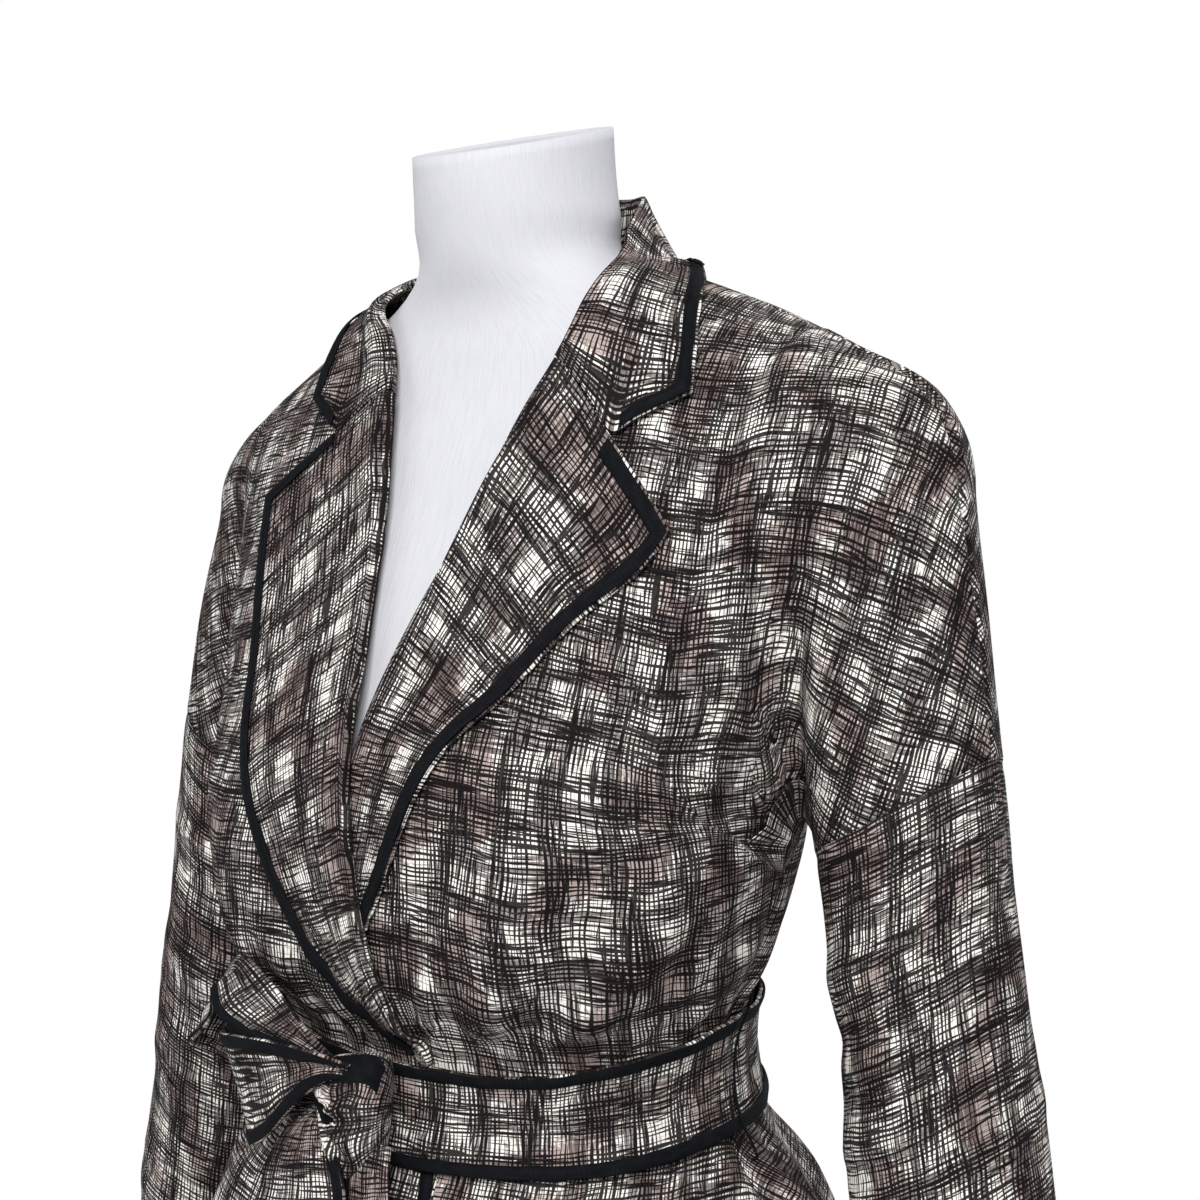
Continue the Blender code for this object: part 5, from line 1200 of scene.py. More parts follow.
# ---- the coat's body ---------------------------------------------------------
@dataclass
class CoatBody:
    """Both fronts, the back, the underarm gussets and the sleeves."""

    row_step: float = 0.0055
    front_columns: int = 72
    back_columns: int = 132
    cap_columns: int = 36
    arm_rows: int = 60
    underarm_rows: int = 5
    sleeve_rows: int = 84
    gusset_rows: int = 17
    cotton: PrintedCotton = field(default_factory=PrintedCotton)

    def __post_init__(self) -> None:
        """Work out the rows that all the panels share."""
        count = int(round((SIDE_TOP_Z - HEM_Z) / self.row_step)) + 1
        self.heights = np.linspace(HEM_Z, SIDE_TOP_Z, count)
        known = np.arange(len(ARM_ANGLES))
        self.arm = np.interp(np.linspace(0, known[-1], self.arm_rows), known, np.radians(ARM_ANGLES))

    def cap_guess(self, share: Array, arm: Array, side: float) -> Array:
        """Points near the cut-on sleeve.

        Args:
            share: 0 on the upright armhole plane, 1 on the slanted plane of the sleeve seam.
            arm: angle up the arm, 0 under it and half a turn on the shoulder.
            side: -1 in front and 1 behind.
        """
        rise = (1 - np.cos(arm)) / 2
        low_x = ARMPIT_X + ARMPIT_WIDTH * share
        low_z = ARMPIT_Z + 4 * ARMPIT_ARCH * share * (1 - share)
        turn = np.radians(90.0 * (1 - share))
        high_x = ARMHOLE_X + (SEAM_END[0] - ARMHOLE_X) * np.cos(turn)
        high_z = SEAM_END[1] + (SHOULDER_Z - SEAM_END[1]) * np.sin(turn)
        depth = CAP_DEPTH[0] + (CAP_DEPTH[1] - CAP_DEPTH[0]) * share
        middle = ARMPIT_Y + rise * (CAP_MIDDLE[0] + (CAP_MIDDLE[1] - CAP_MIDDLE[0]) * share)
        x = low_x + (high_x - low_x) * rise
        y = middle + side * depth * np.sin(arm) ** CAP_ROUND
        z = low_z + (high_z - low_z) * rise
        return np.stack(np.broadcast_arrays(x, y, z), -1)

    def drape(self, guess: Array, lift: Callable[[Array], Array] = no_lift) -> Array:
        """Lay a grid on the figure and lift it by its folds, gathers and layers."""
        points, normals = Figure.lay(guess)
        height = Figure.fold_height(points) + Figure.gathers(points) + lift(points)
        return points + normals * height[..., None]

    def cap(self, side: float) -> Array:
        """The cut-on sleeve's front or back, with a pressed ridge along the seam over the arm."""
        shares = np.linspace(0.0, 1.0, self.cap_columns + 1)
        points, normals = Figure.lay(self.cap_guess(shares[None, :], self.arm[:, None], side))
        height = Figure.fold_height(points) + self.seam_ridge(arc_length(points[::-1], 0)[::-1])
        return points + normals * height[..., None]

    @staticmethod
    def seam_ridge(distance: Array) -> Array:
        """Height of a pressed-open seam at a distance from it: a rounded hump, sunk at the stitch."""
        (hump, hump_reach), (sink, sink_reach) = SEAM_HUMP, SEAM_SINK
        return hump * np.exp(-(distance / hump_reach) ** 2) - sink * np.exp(-(distance / sink_reach) ** 2)

    def body_lower(self, edge: Array, columns: int, side: float, full_turn: bool) -> Array:
        """Level rows from the free edge, or from side to side, laid near the figure."""
        width, middle, front, back = np.moveaxis(coat_cut(self.heights), -1, 0)[:4]
        share = np.linspace(0.0, 1.0, columns + 1)[None, :]
        if full_turn:
            turn = np.radians(-90 + 180 * share) + 0 * self.heights[:, None]
        else:
            start = np.arcsin(np.clip(edge / width, -0.95, 0.95))
            turn = start[:, None] + (np.pi / 2 - start[:, None]) * share
        depth = np.where(side < 0, front, back)[:, None]
        x, z = width[:, None] * np.sin(turn), self.heights[:, None] + 0 * share
        return np.stack([x, middle[:, None] + side * depth * np.cos(turn), z], -1)

    def upper_guess(self, x_in: Array, z_in: Array, share: Array, side: float) -> Array:
        """Rows above the side seam, climbing by the armhole's angles up to the shoulder."""
        angle = self.arm[:, None]
        rise = (1 - np.cos(angle)) / 2
        x = x_in + (ARMHOLE_X - x_in) * share
        z = blend(z_in, ARMPIT_Z + (SHOULDER_Z - ARMPIT_Z) * rise, share)
        near_arm = ease(0.62, 1.0, share)
        flat_rise = 1 + near_arm * (np.sin(angle) ** CAP_ROUND - 1)
        roundness = np.where(angle < np.pi / 2, flat_rise, np.sin(angle))
        middle, front, back = np.moveaxis(coat_cut(np.minimum(z, SHOULDER_CUT_Z)), -1, 0)[1:4]
        depth = front if side < 0 else back
        return np.stack([x, middle + side * depth * roundness, z], -1)

    @staticmethod
    def shoulder_guess(x: Array) -> Array:
        """Points near the shoulder ridge above x."""
        share = (x - SHOULDER_X) / (ARMHOLE_X - SHOULDER_X)
        y, z = (start + fall * share for start, fall in zip(SHOULDER_SEAM, SHOULDER_FALL))
        return np.stack(np.broadcast_arrays(x, y, z), -1)

    def between(self, lower: Array, upper: Array) -> Array:
        """Rows that bridge the last level row and the first one of the armhole, evenly."""
        share = (np.arange(1, self.underarm_rows) / self.underarm_rows)[:, None, None]
        return blend(lower[-1], upper[0], share)

    def armhole_rows(self) -> tuple[Array, Array]:
        """Heights at which the armhole's rows start inside, and how evenly they are spaced.

        Returns:
            The heights, and for each row 0 where its points keep the spacing of the level rows
            and 1 where they are evenly spaced.
        """
        rise = (1 - np.cos(self.arm)) / 2
        heights = SIDE_TOP_Z + ARMHOLE_STEP + (NECK_Z - SIDE_TOP_Z - ARMHOLE_STEP) * rise
        return heights[:, None], ease(0.0, 0.55, rise)[:, None]

    def layout(self, body: Array, cap: Array) -> tuple[Array, Array]:
        """Flat layouts of a panel's body and of its cut-on sleeve, which are one cut of cloth.

        The first layout has the running length along the rows as u and the height, then the
        running length up the columns, as v. The sleeve opens from it as a wedge about the
        underarm. Then the whole grid is let out flat.
        """
        u = arc_length(body, 1) + body[:, :1, 0]
        count = len(self.heights)
        v = np.concatenate([np.repeat(self.heights[:, None], body.shape[1], 1),
                            SIDE_TOP_Z + arc_length(body[count - 1:], 0)[1:]])
        flat = np.stack([u, v], -1)
        edge = flat[-len(cap):, -1]
        run = arc_length(cap, 0)
        up = run * (edge[-1, 1] - edge[0, 1]) / run[-1, 0]
        share = np.linspace(0.0, 1.0, cap.shape[1])[None, :]
        turn = np.radians(CAP_GRAIN) * share
        cap_flat = edge[0] + np.stack([up * np.sin(turn) + ARMPIT_WIDTH * share, up * np.cos(turn)], -1)
        cap_flat = cap_flat + (edge[:, None] - edge[0] - np.stack([0 * up[:, :1], up[:, :1]], -1)) * (
            1 - share[..., None])
        rows, wide, extra = body.shape[0], body.shape[1], cap.shape[1] - 1
        points, layout = np.zeros((rows, wide + extra, 3)), np.zeros((rows, wide + extra, 2))
        points[:, :wide], layout[:, :wide] = body, flat
        points[-len(cap):, wide:], layout[-len(cap):, wide:] = cap[:, 1:], cap_flat[:, 1:]
        real = np.ones((rows, wide + extra), bool)
        real[:-len(cap), wide:] = False
        layout = flattened(points, layout, real)
        return layout[:, :wide], layout[-len(cap):, wide - 1:]

    def front(self, column: int, lift: Callable[[Array], Array]) -> list[Patch]:
        """One front on the +X side: column 0 is the wearer's left, 1 the right, before mirroring."""
        sign = 1.0 if column == 0 else -1.0
        edge = sign * roll_lines(self.heights)[:, column]
        lower = self.body_lower(edge, self.front_columns, -1.0, False)
        share = np.linspace(0.0, 1.0, self.front_columns + 1)[None, :]
        z_in, even = self.armhole_rows()
        x_in = sign * roll_lines(z_in[:, 0])[:, column][:, None]
        start = math.asin(float(edge[-1]) / float(coat_cut(SIDE_TOP_Z)[0]))
        turn = start + (math.pi / 2 - start) * share
        sine_share = (np.sin(turn) - math.sin(start)) / (1 - math.sin(start))
        upper = self.upper_guess(x_in, z_in, blend(sine_share, share, even), -1.0)
        upper[-1] = self.shoulder_guess(SHOULDER_X + (ARMHOLE_X - SHOULDER_X) * share[0])
        body = self.drape(np.concatenate([lower, self.between(lower, upper), upper]), lift)
        cap = self.cap(-1.0)
        body[-self.arm_rows:, -1] = cap[:, 0]
        return [Patch(*pair) for pair in zip((body, cap), self.layout(body, cap))]

    def back(self) -> list[Patch]:
        """The back in one piece with both its cut-on sleeves."""
        lower = self.body_lower(np.zeros(1), self.back_columns, 1.0, True)
        place = np.linspace(-1.0, 1.0, self.back_columns + 1)[None, :]
        step, sign = np.abs(place), np.sign(place)
        share = np.interp(step, (0, NECK_SHARE, 1), (0, SHOULDER_X / ARMHOLE_X, 1))
        z_in, even = self.armhole_rows()
        spacing = blend(np.sin(step * math.pi / 2), share, even)
        upper = self.upper_guess(np.zeros_like(z_in), z_in, spacing, 1.0)
        seam = self.shoulder_guess(np.maximum(upper[-1, :, 0], SHOULDER_X))
        along = np.minimum(upper[-1, :, :1] / SHOULDER_X, 1.0)
        neck = np.concatenate([upper[-1, :, :1], SHOULDER_SEAM[0] + NECK_CURVE[0] * np.sqrt(1 - along**2),
                               NECK_Z + NECK_CURVE[1] + 0 * along], axis=1)
        upper[-1] = np.where(step.T < NECK_SHARE - 1e-6, neck, seam)
        upper[..., 0] *= sign
        body = self.drape(np.concatenate([lower, self.between(lower, upper), upper]))
        cap = self.cap(1.0)
        body[-self.arm_rows:, -1] = cap[:, 0]
        body[-self.arm_rows:, 0] = cap[:, 0] * (-1, 1, 1)
        middle = self.back_columns // 2
        flat, cap_flat = self.layout(body[:, middle:], cap)
        left_flat = flat[:, :0:-1] * (-1, 1)
        whole = np.concatenate([left_flat, flat], axis=1)
        flip = Patch(cap * (-1, 1, 1), cap_flat * (-1, 1))
        return [Patch(body[:, ::-1], whole[:, ::-1]), Patch(cap[:, ::-1], cap_flat[:, ::-1]), flip]

    def gusset(self, front: list[Patch], back: list[Patch]) -> Array:
        """The underarm gusset from the front's edge over the arch to the back's edge."""
        rows = self.arm_rows + self.underarm_rows
        edges = []
        for patches in (front, [Patch(back[0].points[:, ::-1], back[0].uv), back[1]]):
            side = patches[0].points[-rows:-self.arm_rows, -1]
            cap = patches[1].points[0]
            edges.append(np.concatenate([side, cap if patches is front else cap[::-1]]))
        arch, _ = Figure.lay(self.cap_guess(np.linspace(0.0, 1.0, self.cap_columns + 1), 0.0, -1))
        length = arc_length(arch[None], 1)[0]
        even = np.linspace(0.0, length[-1], len(arch))
        arch = np.stack([np.interp(even, length, values) for values in arch.T], -1)
        lead = np.linspace(0.0, 1.0, self.underarm_rows, endpoint=False)[:, None]
        arch = np.concatenate([blend(edges[0][0], arch[0], lead), arch])
        share = np.linspace(-1.0, 1.0, self.gusset_rows)[:, None, None]
        edge = np.where(share < 0, edges[1][None], edges[0][None])
        return arch[None] + (edge - arch[None]) * np.abs(share) ** 1.15

    def sleeve(self, front: list[Patch], back: list[Patch], gusset: Array) -> list[Patch]:
        """Rings of the sleeve from the cap's seam to the cuff, starting at the armpit."""
        front_seam, back_seam = front[1].points[:, -1], back[1].points[:, 0]
        middle = self.gusset_rows // 2
        inner = gusset[:, -1]
        seam = np.concatenate([inner[middle:-1], front_seam, back_seam[-2:0:-1], inner[:middle + 1]])
        lead = np.linspace(0.0, 1.0, middle, endpoint=False) * self.arm[0]
        angle = np.concatenate([lead, self.arm, 2 * np.pi - self.arm[-2:0:-1],
                                2 * np.pi - np.append(lead, self.arm[0])[::-1]])
        share = (np.linspace(0.0, 1.0, self.sleeve_rows) ** 1.15)[:, None]
        z = blend(seam[:, 2], CUFF_Z, share)

        def tube(height: Array) -> Array:
            """The bare sleeve at heights, with its creases."""
            x, y, across, along = np.moveaxis(sleeve_cut(height), -1, 0)
            crease = self.sleeve_crease(angle, height)
            inward, forward = (across + crease) * np.cos(angle), (along + crease) * np.sin(angle)
            return np.stack([x - inward, y - forward, height + 0 * inward], -1)

        pull = ease(SLEEVE_PULL, 0.0, seam[:, 2] - z)[..., None]
        points = tube(z) + (seam - tube(seam[None, :, 2])) * pull
        points[:, -1] = points[:, 0]
        below = arc_length(points, 0)
        groove = CUFF_TURN[0] * np.exp(-((below[-1:] - below - CUFF_HEM) / CUFF_TURN[1]) ** 2)
        ridge = self.seam_ridge(below) * ease(0.0, 0.004, below) + groove
        points = points + grid_normals(points) * ridge[..., None]
        u = angle[None, :] * SLEEVE_RADIUS + 0 * z
        return [Patch(points[::-1], np.stack([u, CUFF_Z + below.max() - below], -1)[::-1])]

    @staticmethod
    def sleeve_crease(angle: Array, height: Array) -> Array:
        """Soft creases across the sleeve: bell curves in height and angle, and a slow ripple."""
        lift = 0.0006 * np.sin(3 * angle + 40 * height) + 0.0005 * np.sin(5 * angle - 63 * height + 1.0)
        for crest_z, crest, lean, width, spread, size in SLEEVE_FOLDS + SLEEVE_CREASES:
            turn = np.mod(angle - math.radians(crest) + np.pi, 2 * np.pi) - np.pi
            off = height - crest_z - lean * turn
            lift = lift + CUFF_CALM * size * np.exp(-(off / width) ** 2 - (turn / spread) ** 2)
        return lift

    def build(self) -> dict[str, list[Patch]]:
        """Make and dress every panel; returns the fronts' patches before mirroring."""
        left, right, back = self.front(0, no_lift), self.front(1, overlap_lift), self.back()
        gusset = self.gusset(left, back)
        sleeve = self.sleeve(left, back, gusset)
        gusset_patch = laid_out(gusset)
        flip = [Patch(mirrored(p.points), p.uv[:, ::-1] * (-1, 1)) for p in right]
        parts = {"front_left": left, "front_right": flip, "back": back,
                 "gusset_left": [gusset_patch],
                 "gusset_right": [Patch(mirrored(gusset), gusset_patch.uv[:, ::-1])],
                 "sleeve_left": sleeve,
                 "sleeve_right": [Patch(mirrored(p.points), p.uv[:, ::-1]) for p in sleeve]}
        for name, patches in parts.items():
            piece = Piece(name + "_cloth", patches, CLOTH, shift=CUT_FROM[name])
            piece.dress(self.cotton).stands_for(name).cloth("hung", ["dress_form"])
        self.hem_stitching(left, right, back)
        self.edge_binding(right[0].points)
        return {"left": left, "right": right}

    @staticmethod
    def edge_binding(front: Array) -> None:
        """The binding down the right front's free edge, from under the belt to the hem."""
        rows = front[front[:, 0, 2] < WAIST_Z + 0.012]
        lines = [inset_line(rows, inset) for inset in (BINDING_INSET, BINDING_INSET + BINDING_WIDTH)]
        normals = grid_normals(rows)[:, 1] * (-1, 1, 1)
        outer, inner = (mirrored(line[:, None])[:, 0] for line in lines)
        tape("front_binding_tape", outer, inner, normals, 0.0002).dress(NavyTwill())

    def hem_stitching(self, left: list[Patch], right: list[Patch], back: list[Patch]) -> None:
        """A row of stitches round the hem, over the edge of its turned-up cloth."""
        row = int(round(HEM_TURN / self.row_step))
        for name, patch, flip in (("left", left[0], 1), ("right", right[0], -1), ("back", back[0], 1)):
            line = patch.points[row] * (flip, 1, 1)
            stitches(f"hem_stitches_{name}", line, unit(line * (1, 1, 0)), 0.0001).dress(NavyTwill())


# ---- lapels and collar -------------------------------------------------------
@dataclass
class Front:
    """What a lapel rests on: a front's free edge and the height of its cloth."""

    patch: Patch
    lift: Callable[[Array], Array]

    def height(self, points: Array) -> Array:
        """Signed height of points over the front's inner face."""
        return Figure.coat_field(points) - self.cloth(points)

    def cloth(self, points: Array) -> Array:
        """How far the front's inner face stands off the figure at points."""
        return Figure.fold_height(points) + Figure.gathers(points) + self.lift(points)

    def at_edge(self, z: Array) -> tuple[Array, Array]:
        """The free edge at heights z, and the unit direction that leads away beyond it."""
        edge = self.patch.points[:, 0]
        beyond = edge - self.patch.points[:, 2]
        order = np.argsort(edge[:, 2])
        keys = edge[order, 2]
        point = np.stack([np.interp(z, keys, column) for column in edge[order].T], -1)
        away = np.stack([np.interp(z, keys, column) for column in beyond[order].T], -1)
        return point, unit(away)

    def curl(self, z: Array, bulge: Array, count: int) -> Array:
        """Arcs round the free edge, from just under it over its outside to its top.

        Each arc is half an ellipse that stands beyond the edge.
        """
        edge, beyond = self.at_edge(z)
        normals = square_to(Figure.slope(edge), beyond)
        top = (REST + 0.55 * bulge)[:, None, None]
        turn = np.linspace(-np.pi / 2, np.pi / 2, count)[None, :, None]
        height = (top - 0.0003) / 2 + (top + 0.0003) / 2 * np.sin(turn)
        out = ROLL_CLEAR * (0.9 + 1.1 * np.cos(turn))
        return edge[:, None] + beyond[:, None] * out + normals[:, None] * height


@dataclass
class Lapel:
    """A notched lapel turned back over its front, with its binding and topstitching."""

    name: str
    table: Table
    notch: float
    front: Front
    flip: bool
    rows: int = 150
    columns: int = 34
    curl_columns: int = 8
    top_stations: int = 23
    cotton: PrintedCotton = field(default_factory=PrintedCotton)
    twill: NavyTwill = field(default_factory=NavyTwill)

    def points(self, down: Array, share: Array, rise: Array) -> tuple[Array, Array]:
        """Points at rest on the front: down 0 at the tip row, share 0 at the roll."""
        row = smooth_table(self.table)(down)
        x, z = (blend(row[..., k], row[..., k + 2], share) for k in (0, 1))
        middle, front = np.moveaxis(coat_cut(z), -1, 0)[1:3]
        laid, normals = Figure.lay(np.stack([x, middle - 0.95 * front, z], -1))
        return laid + normals * (self.front.cloth(laid) + rise)[..., None], normals

    @staticmethod
    def lean(down: Array, share: Array) -> Array:
        """How far the lapel stands up towards its free edge, less near its foot."""
        return LAPEL_LIFT * ease(0.55, 1.0, share) * ease(1.0, 0.7, down)

    def surface(self) -> Array:
        """The whole lapel: it curls round the front's edge and then lies on the front."""
        down = np.linspace(0.0, 1.0, self.rows)[:, None]
        share = (np.linspace(0.0, 1.0, self.columns + 1)[None, 1:]) ** 1.1
        bulge = ease(0.85, 0.35, down) * ROLL_BULGE + 0.0002
        rise = REST + bulge * np.exp(-(share * 6.0) ** 1.5) + self.lean(down, share)
        flat, _ = self.points(down, share, rise)
        roll_z = smooth_table(self.table)(down[:, 0])[:, 1]
        curl = self.front.curl(roll_z, bulge[:, 0], self.curl_columns)
        return np.concatenate([curl, flat], axis=1)

    def border(self, insets: Sequence[float], rise: float) -> tuple[list[Array], Array]:
        """Lines at some distances inside the free edge, from the notch round the tip to the foot."""
        table = smooth_table(self.table)
        end = table(np.array([0.0, 0.05]))
        tip_step = float(np.linalg.norm(end[1, 2:] - end[0, 2:])) / 0.05
        down = np.concatenate([[0.0], np.linspace(0.06, self.foot, self.rows)])
        row = table(down)
        width = np.hypot(row[:, 2] - row[:, 0], row[:, 3] - row[:, 1])
        lines, normals = [], None
        for inset in insets:
            side_share = 1.0 - np.minimum(inset / width, 0.62)
            top_share = np.linspace(self.notch, 1.0 - inset / width[0], self.top_stations + 1)[:-1]
            all_down = np.maximum(np.concatenate([np.zeros(self.top_stations), down]), inset / tip_step)
            all_share = np.concatenate([top_share, side_share])
            lean = self.lean(all_down, all_share)
            line, normals = self.points(all_down, all_share, REST + rise + lean)
            lines.append(line)
        return lines, normals

    @property
    def foot(self) -> float:
        """How far down the binding runs."""
        return 0.985 if self.flip else 0.93

    def build(self) -> None:
        """Make the lapel, its binding and the row of stitches inside it."""
        points = self.surface()
        flat = laid_out(points)
        lines, normals = self.border((BINDING_INSET, BINDING_INSET + BINDING_WIDTH), 0.0002)
        seam, seam_normals = self.border((TOPSTITCH,), 0.0)
        outer, inner, stitch = lines[0], lines[1], seam[0]
        if self.flip:
            mirror = np.array([-1, 1, 1])
            points = mirrored(points)
            flat = Patch(points, flat.uv[:, ::-1])
            outer, inner = lines[1] * mirror, lines[0] * mirror
            normals, stitch, seam_normals = normals * mirror, stitch * mirror, seam_normals * mirror
        binding = tape(f"lapel_binding_{self.name}_tape", outer[::-1], inner[::-1], normals[::-1], 0.0005)
        binding.dress(self.twill).stands_for(f"lapel_binding_{self.name}")
        thread = stitches(f"lapel_stitches_{self.name}", stitch, seam_normals, 0.00005).dress(self.twill)
        piece = Piece(f"lapel_{self.name}_cloth", [Patch(flat.points[::-1], flat.uv[::-1])], CLOTH)
        piece.dress(self.cotton).stands_for(f"lapel_{self.name}")
        piece.cloth("folded", [f"front_{self.name}_cloth"], [binding, thread])


@dataclass
class Collar:
    """The collar that stands at the neck, rolls over and falls to its outer edge."""

    fronts: tuple[Front, Front]
    stations: int = 96
    columns: int = 46
    end_stations: int = 14
    edge_stations: int = 220
    cotton: PrintedCotton = field(default_factory=PrintedCotton)
    twill: NavyTwill = field(default_factory=NavyTwill)

    def half(self, table: Table, lapel: Table, front: Front, notch_share: float) -> Array:
        """Sections of one half, from the outer edge over the roll to the neck seam.

        From the back to the side of the neck a section stands by itself. Towards its front
        end it curls round the front's edge as the lapel does, and its end follows the gorge.
        """
        share = np.linspace(0.0, 1.0, self.stations)
        row = smooth_table(table)(share)
        seam, roll, edge = row[:, None, :3], row[:, None, 3:6], row[:, None, 6:]
        fall = np.array(COLLAR_FALL)[None, :, None]
        x0, z0, x1, z1 = lapel[0][1:]
        gorge = np.array([x0, -0.033, z0 + 0.001])
        notch = np.array([x0 + (x1 - x0) * notch_share, -0.045, z0 + (z1 - z0) * notch_share + 0.001])
        end = np.where(fall > 0.5, notch + (edge[-1:] - notch) * (2 * fall - 1),
                       gorge + (notch - gorge) * 2 * fall)
        at_end = np.clip((share - 0.94) / 0.06, 0.0, 1.0)[:, None, None]
        leaf = blend(roll + (edge - roll) * fall, end, at_end)
        attached = ease(0.60, 0.85, share)[:, None]
        flat_fall = fall[..., 0]
        need = REST + 0.0010 + COLLAR_BULGE * (1 - attached) * np.sin(np.pi * flat_fall) + (
            0.5 * ROLL_BULGE * attached * (flat_fall < 0.3)) + COLLAR_LIFT * flat_fall**3 * (
            1 - ease(0.9, 1.0, share)[:, None])
        for _ in range(5):
            normals = unit(Figure.slope(leaf))
            lack = need - front.height(leaf)
            leaf = leaf + normals * np.where(lack > 0, lack, lack * attached)[..., None]
        neck, normal = Figure.lay(seam)
        neck = neck + normal * (2 * CLOTH + 0.0005)
        stand = np.concatenate([roll, 0.55 * roll + 0.45 * neck, neck], axis=1)
        front_end = ease(0.62, 0.80, share)[:, None, None]
        curled = front.curl(seam[:, 0, 2], np.full(self.stations, ROLL_BULGE), 3)[:, ::-1]
        stand = blend(stand, curled, front_end)
        return resample(np.concatenate([leaf, stand], axis=1), self.columns)

    def build(self) -> None:
        """Make the collar, its binding and the row of stitches inside it."""
        halves = [self.half(table, lapel, front, notch) for table, lapel, front, notch in
                  zip((COLLAR_LEFT, COLLAR_RIGHT), (LEFT_LAPEL, RIGHT_LAPEL), self.fronts, NOTCH_SHARES)]
        points = np.concatenate([halves[1][:0:-1] * (-1, 1, 1), halves[0]])
        lines, normals = self.border(points, (BINDING_INSET, BINDING_INSET + BINDING_WIDTH))
        binding = tape("collar_binding_tape", lines[1], lines[0], normals, 0.0006)
        binding.dress(self.twill).stands_for("collar_binding")
        seam, seam_normals = self.border(points, (TOPSTITCH,))
        thread = stitches("collar_stitches", seam[0], seam_normals, 0.00005).dress(self.twill)
        patch = laid_out(points)
        piece = Piece("collar_cloth", [Patch(patch.points, patch.uv[..., ::-1])], CLOTH)
        piece.dress(self.cotton).stands_for("collar")
        piece.cloth("folded", ["front_left_cloth", "back_cloth"], [binding, thread])

    def border(self, points: Array, insets: Sequence[float]) -> tuple[list[Array], Array]:
        """Lines inside the collar's free edge and its two ends, down to the notches."""
        normals, run, ends = grid_normals(points), arc_length(points, 1), arc_length(points, 0)
        notch = int(3 / 8 * (points.shape[1] - 1))
        lines = []
        for inset in insets:
            line = inset_line(points, inset)
            sides = [inset_line(points[::flip].swapaxes(0, 1), inset) for flip in (1, -1)]
            keep = (ends[:, 0] > inset) & ((ends[-1, 0] - ends[:, 0]) > inset)
            deep = run[0] > inset
            first = sides[0][:notch][deep[:notch]][::-1]
            last = sides[1][:notch][deep[:notch]]
            lines.append(np.concatenate([resample(first, self.end_stations),
                                         resample(line[keep], self.edge_stations),
                                         resample(last, self.end_stations)]))
        along = np.linspace(0, len(points) - 1, self.edge_stations)
        edge_rows = np.pad(along, self.end_stations, mode="edge").astype(int)
        return lines, normals[edge_rows, 1]


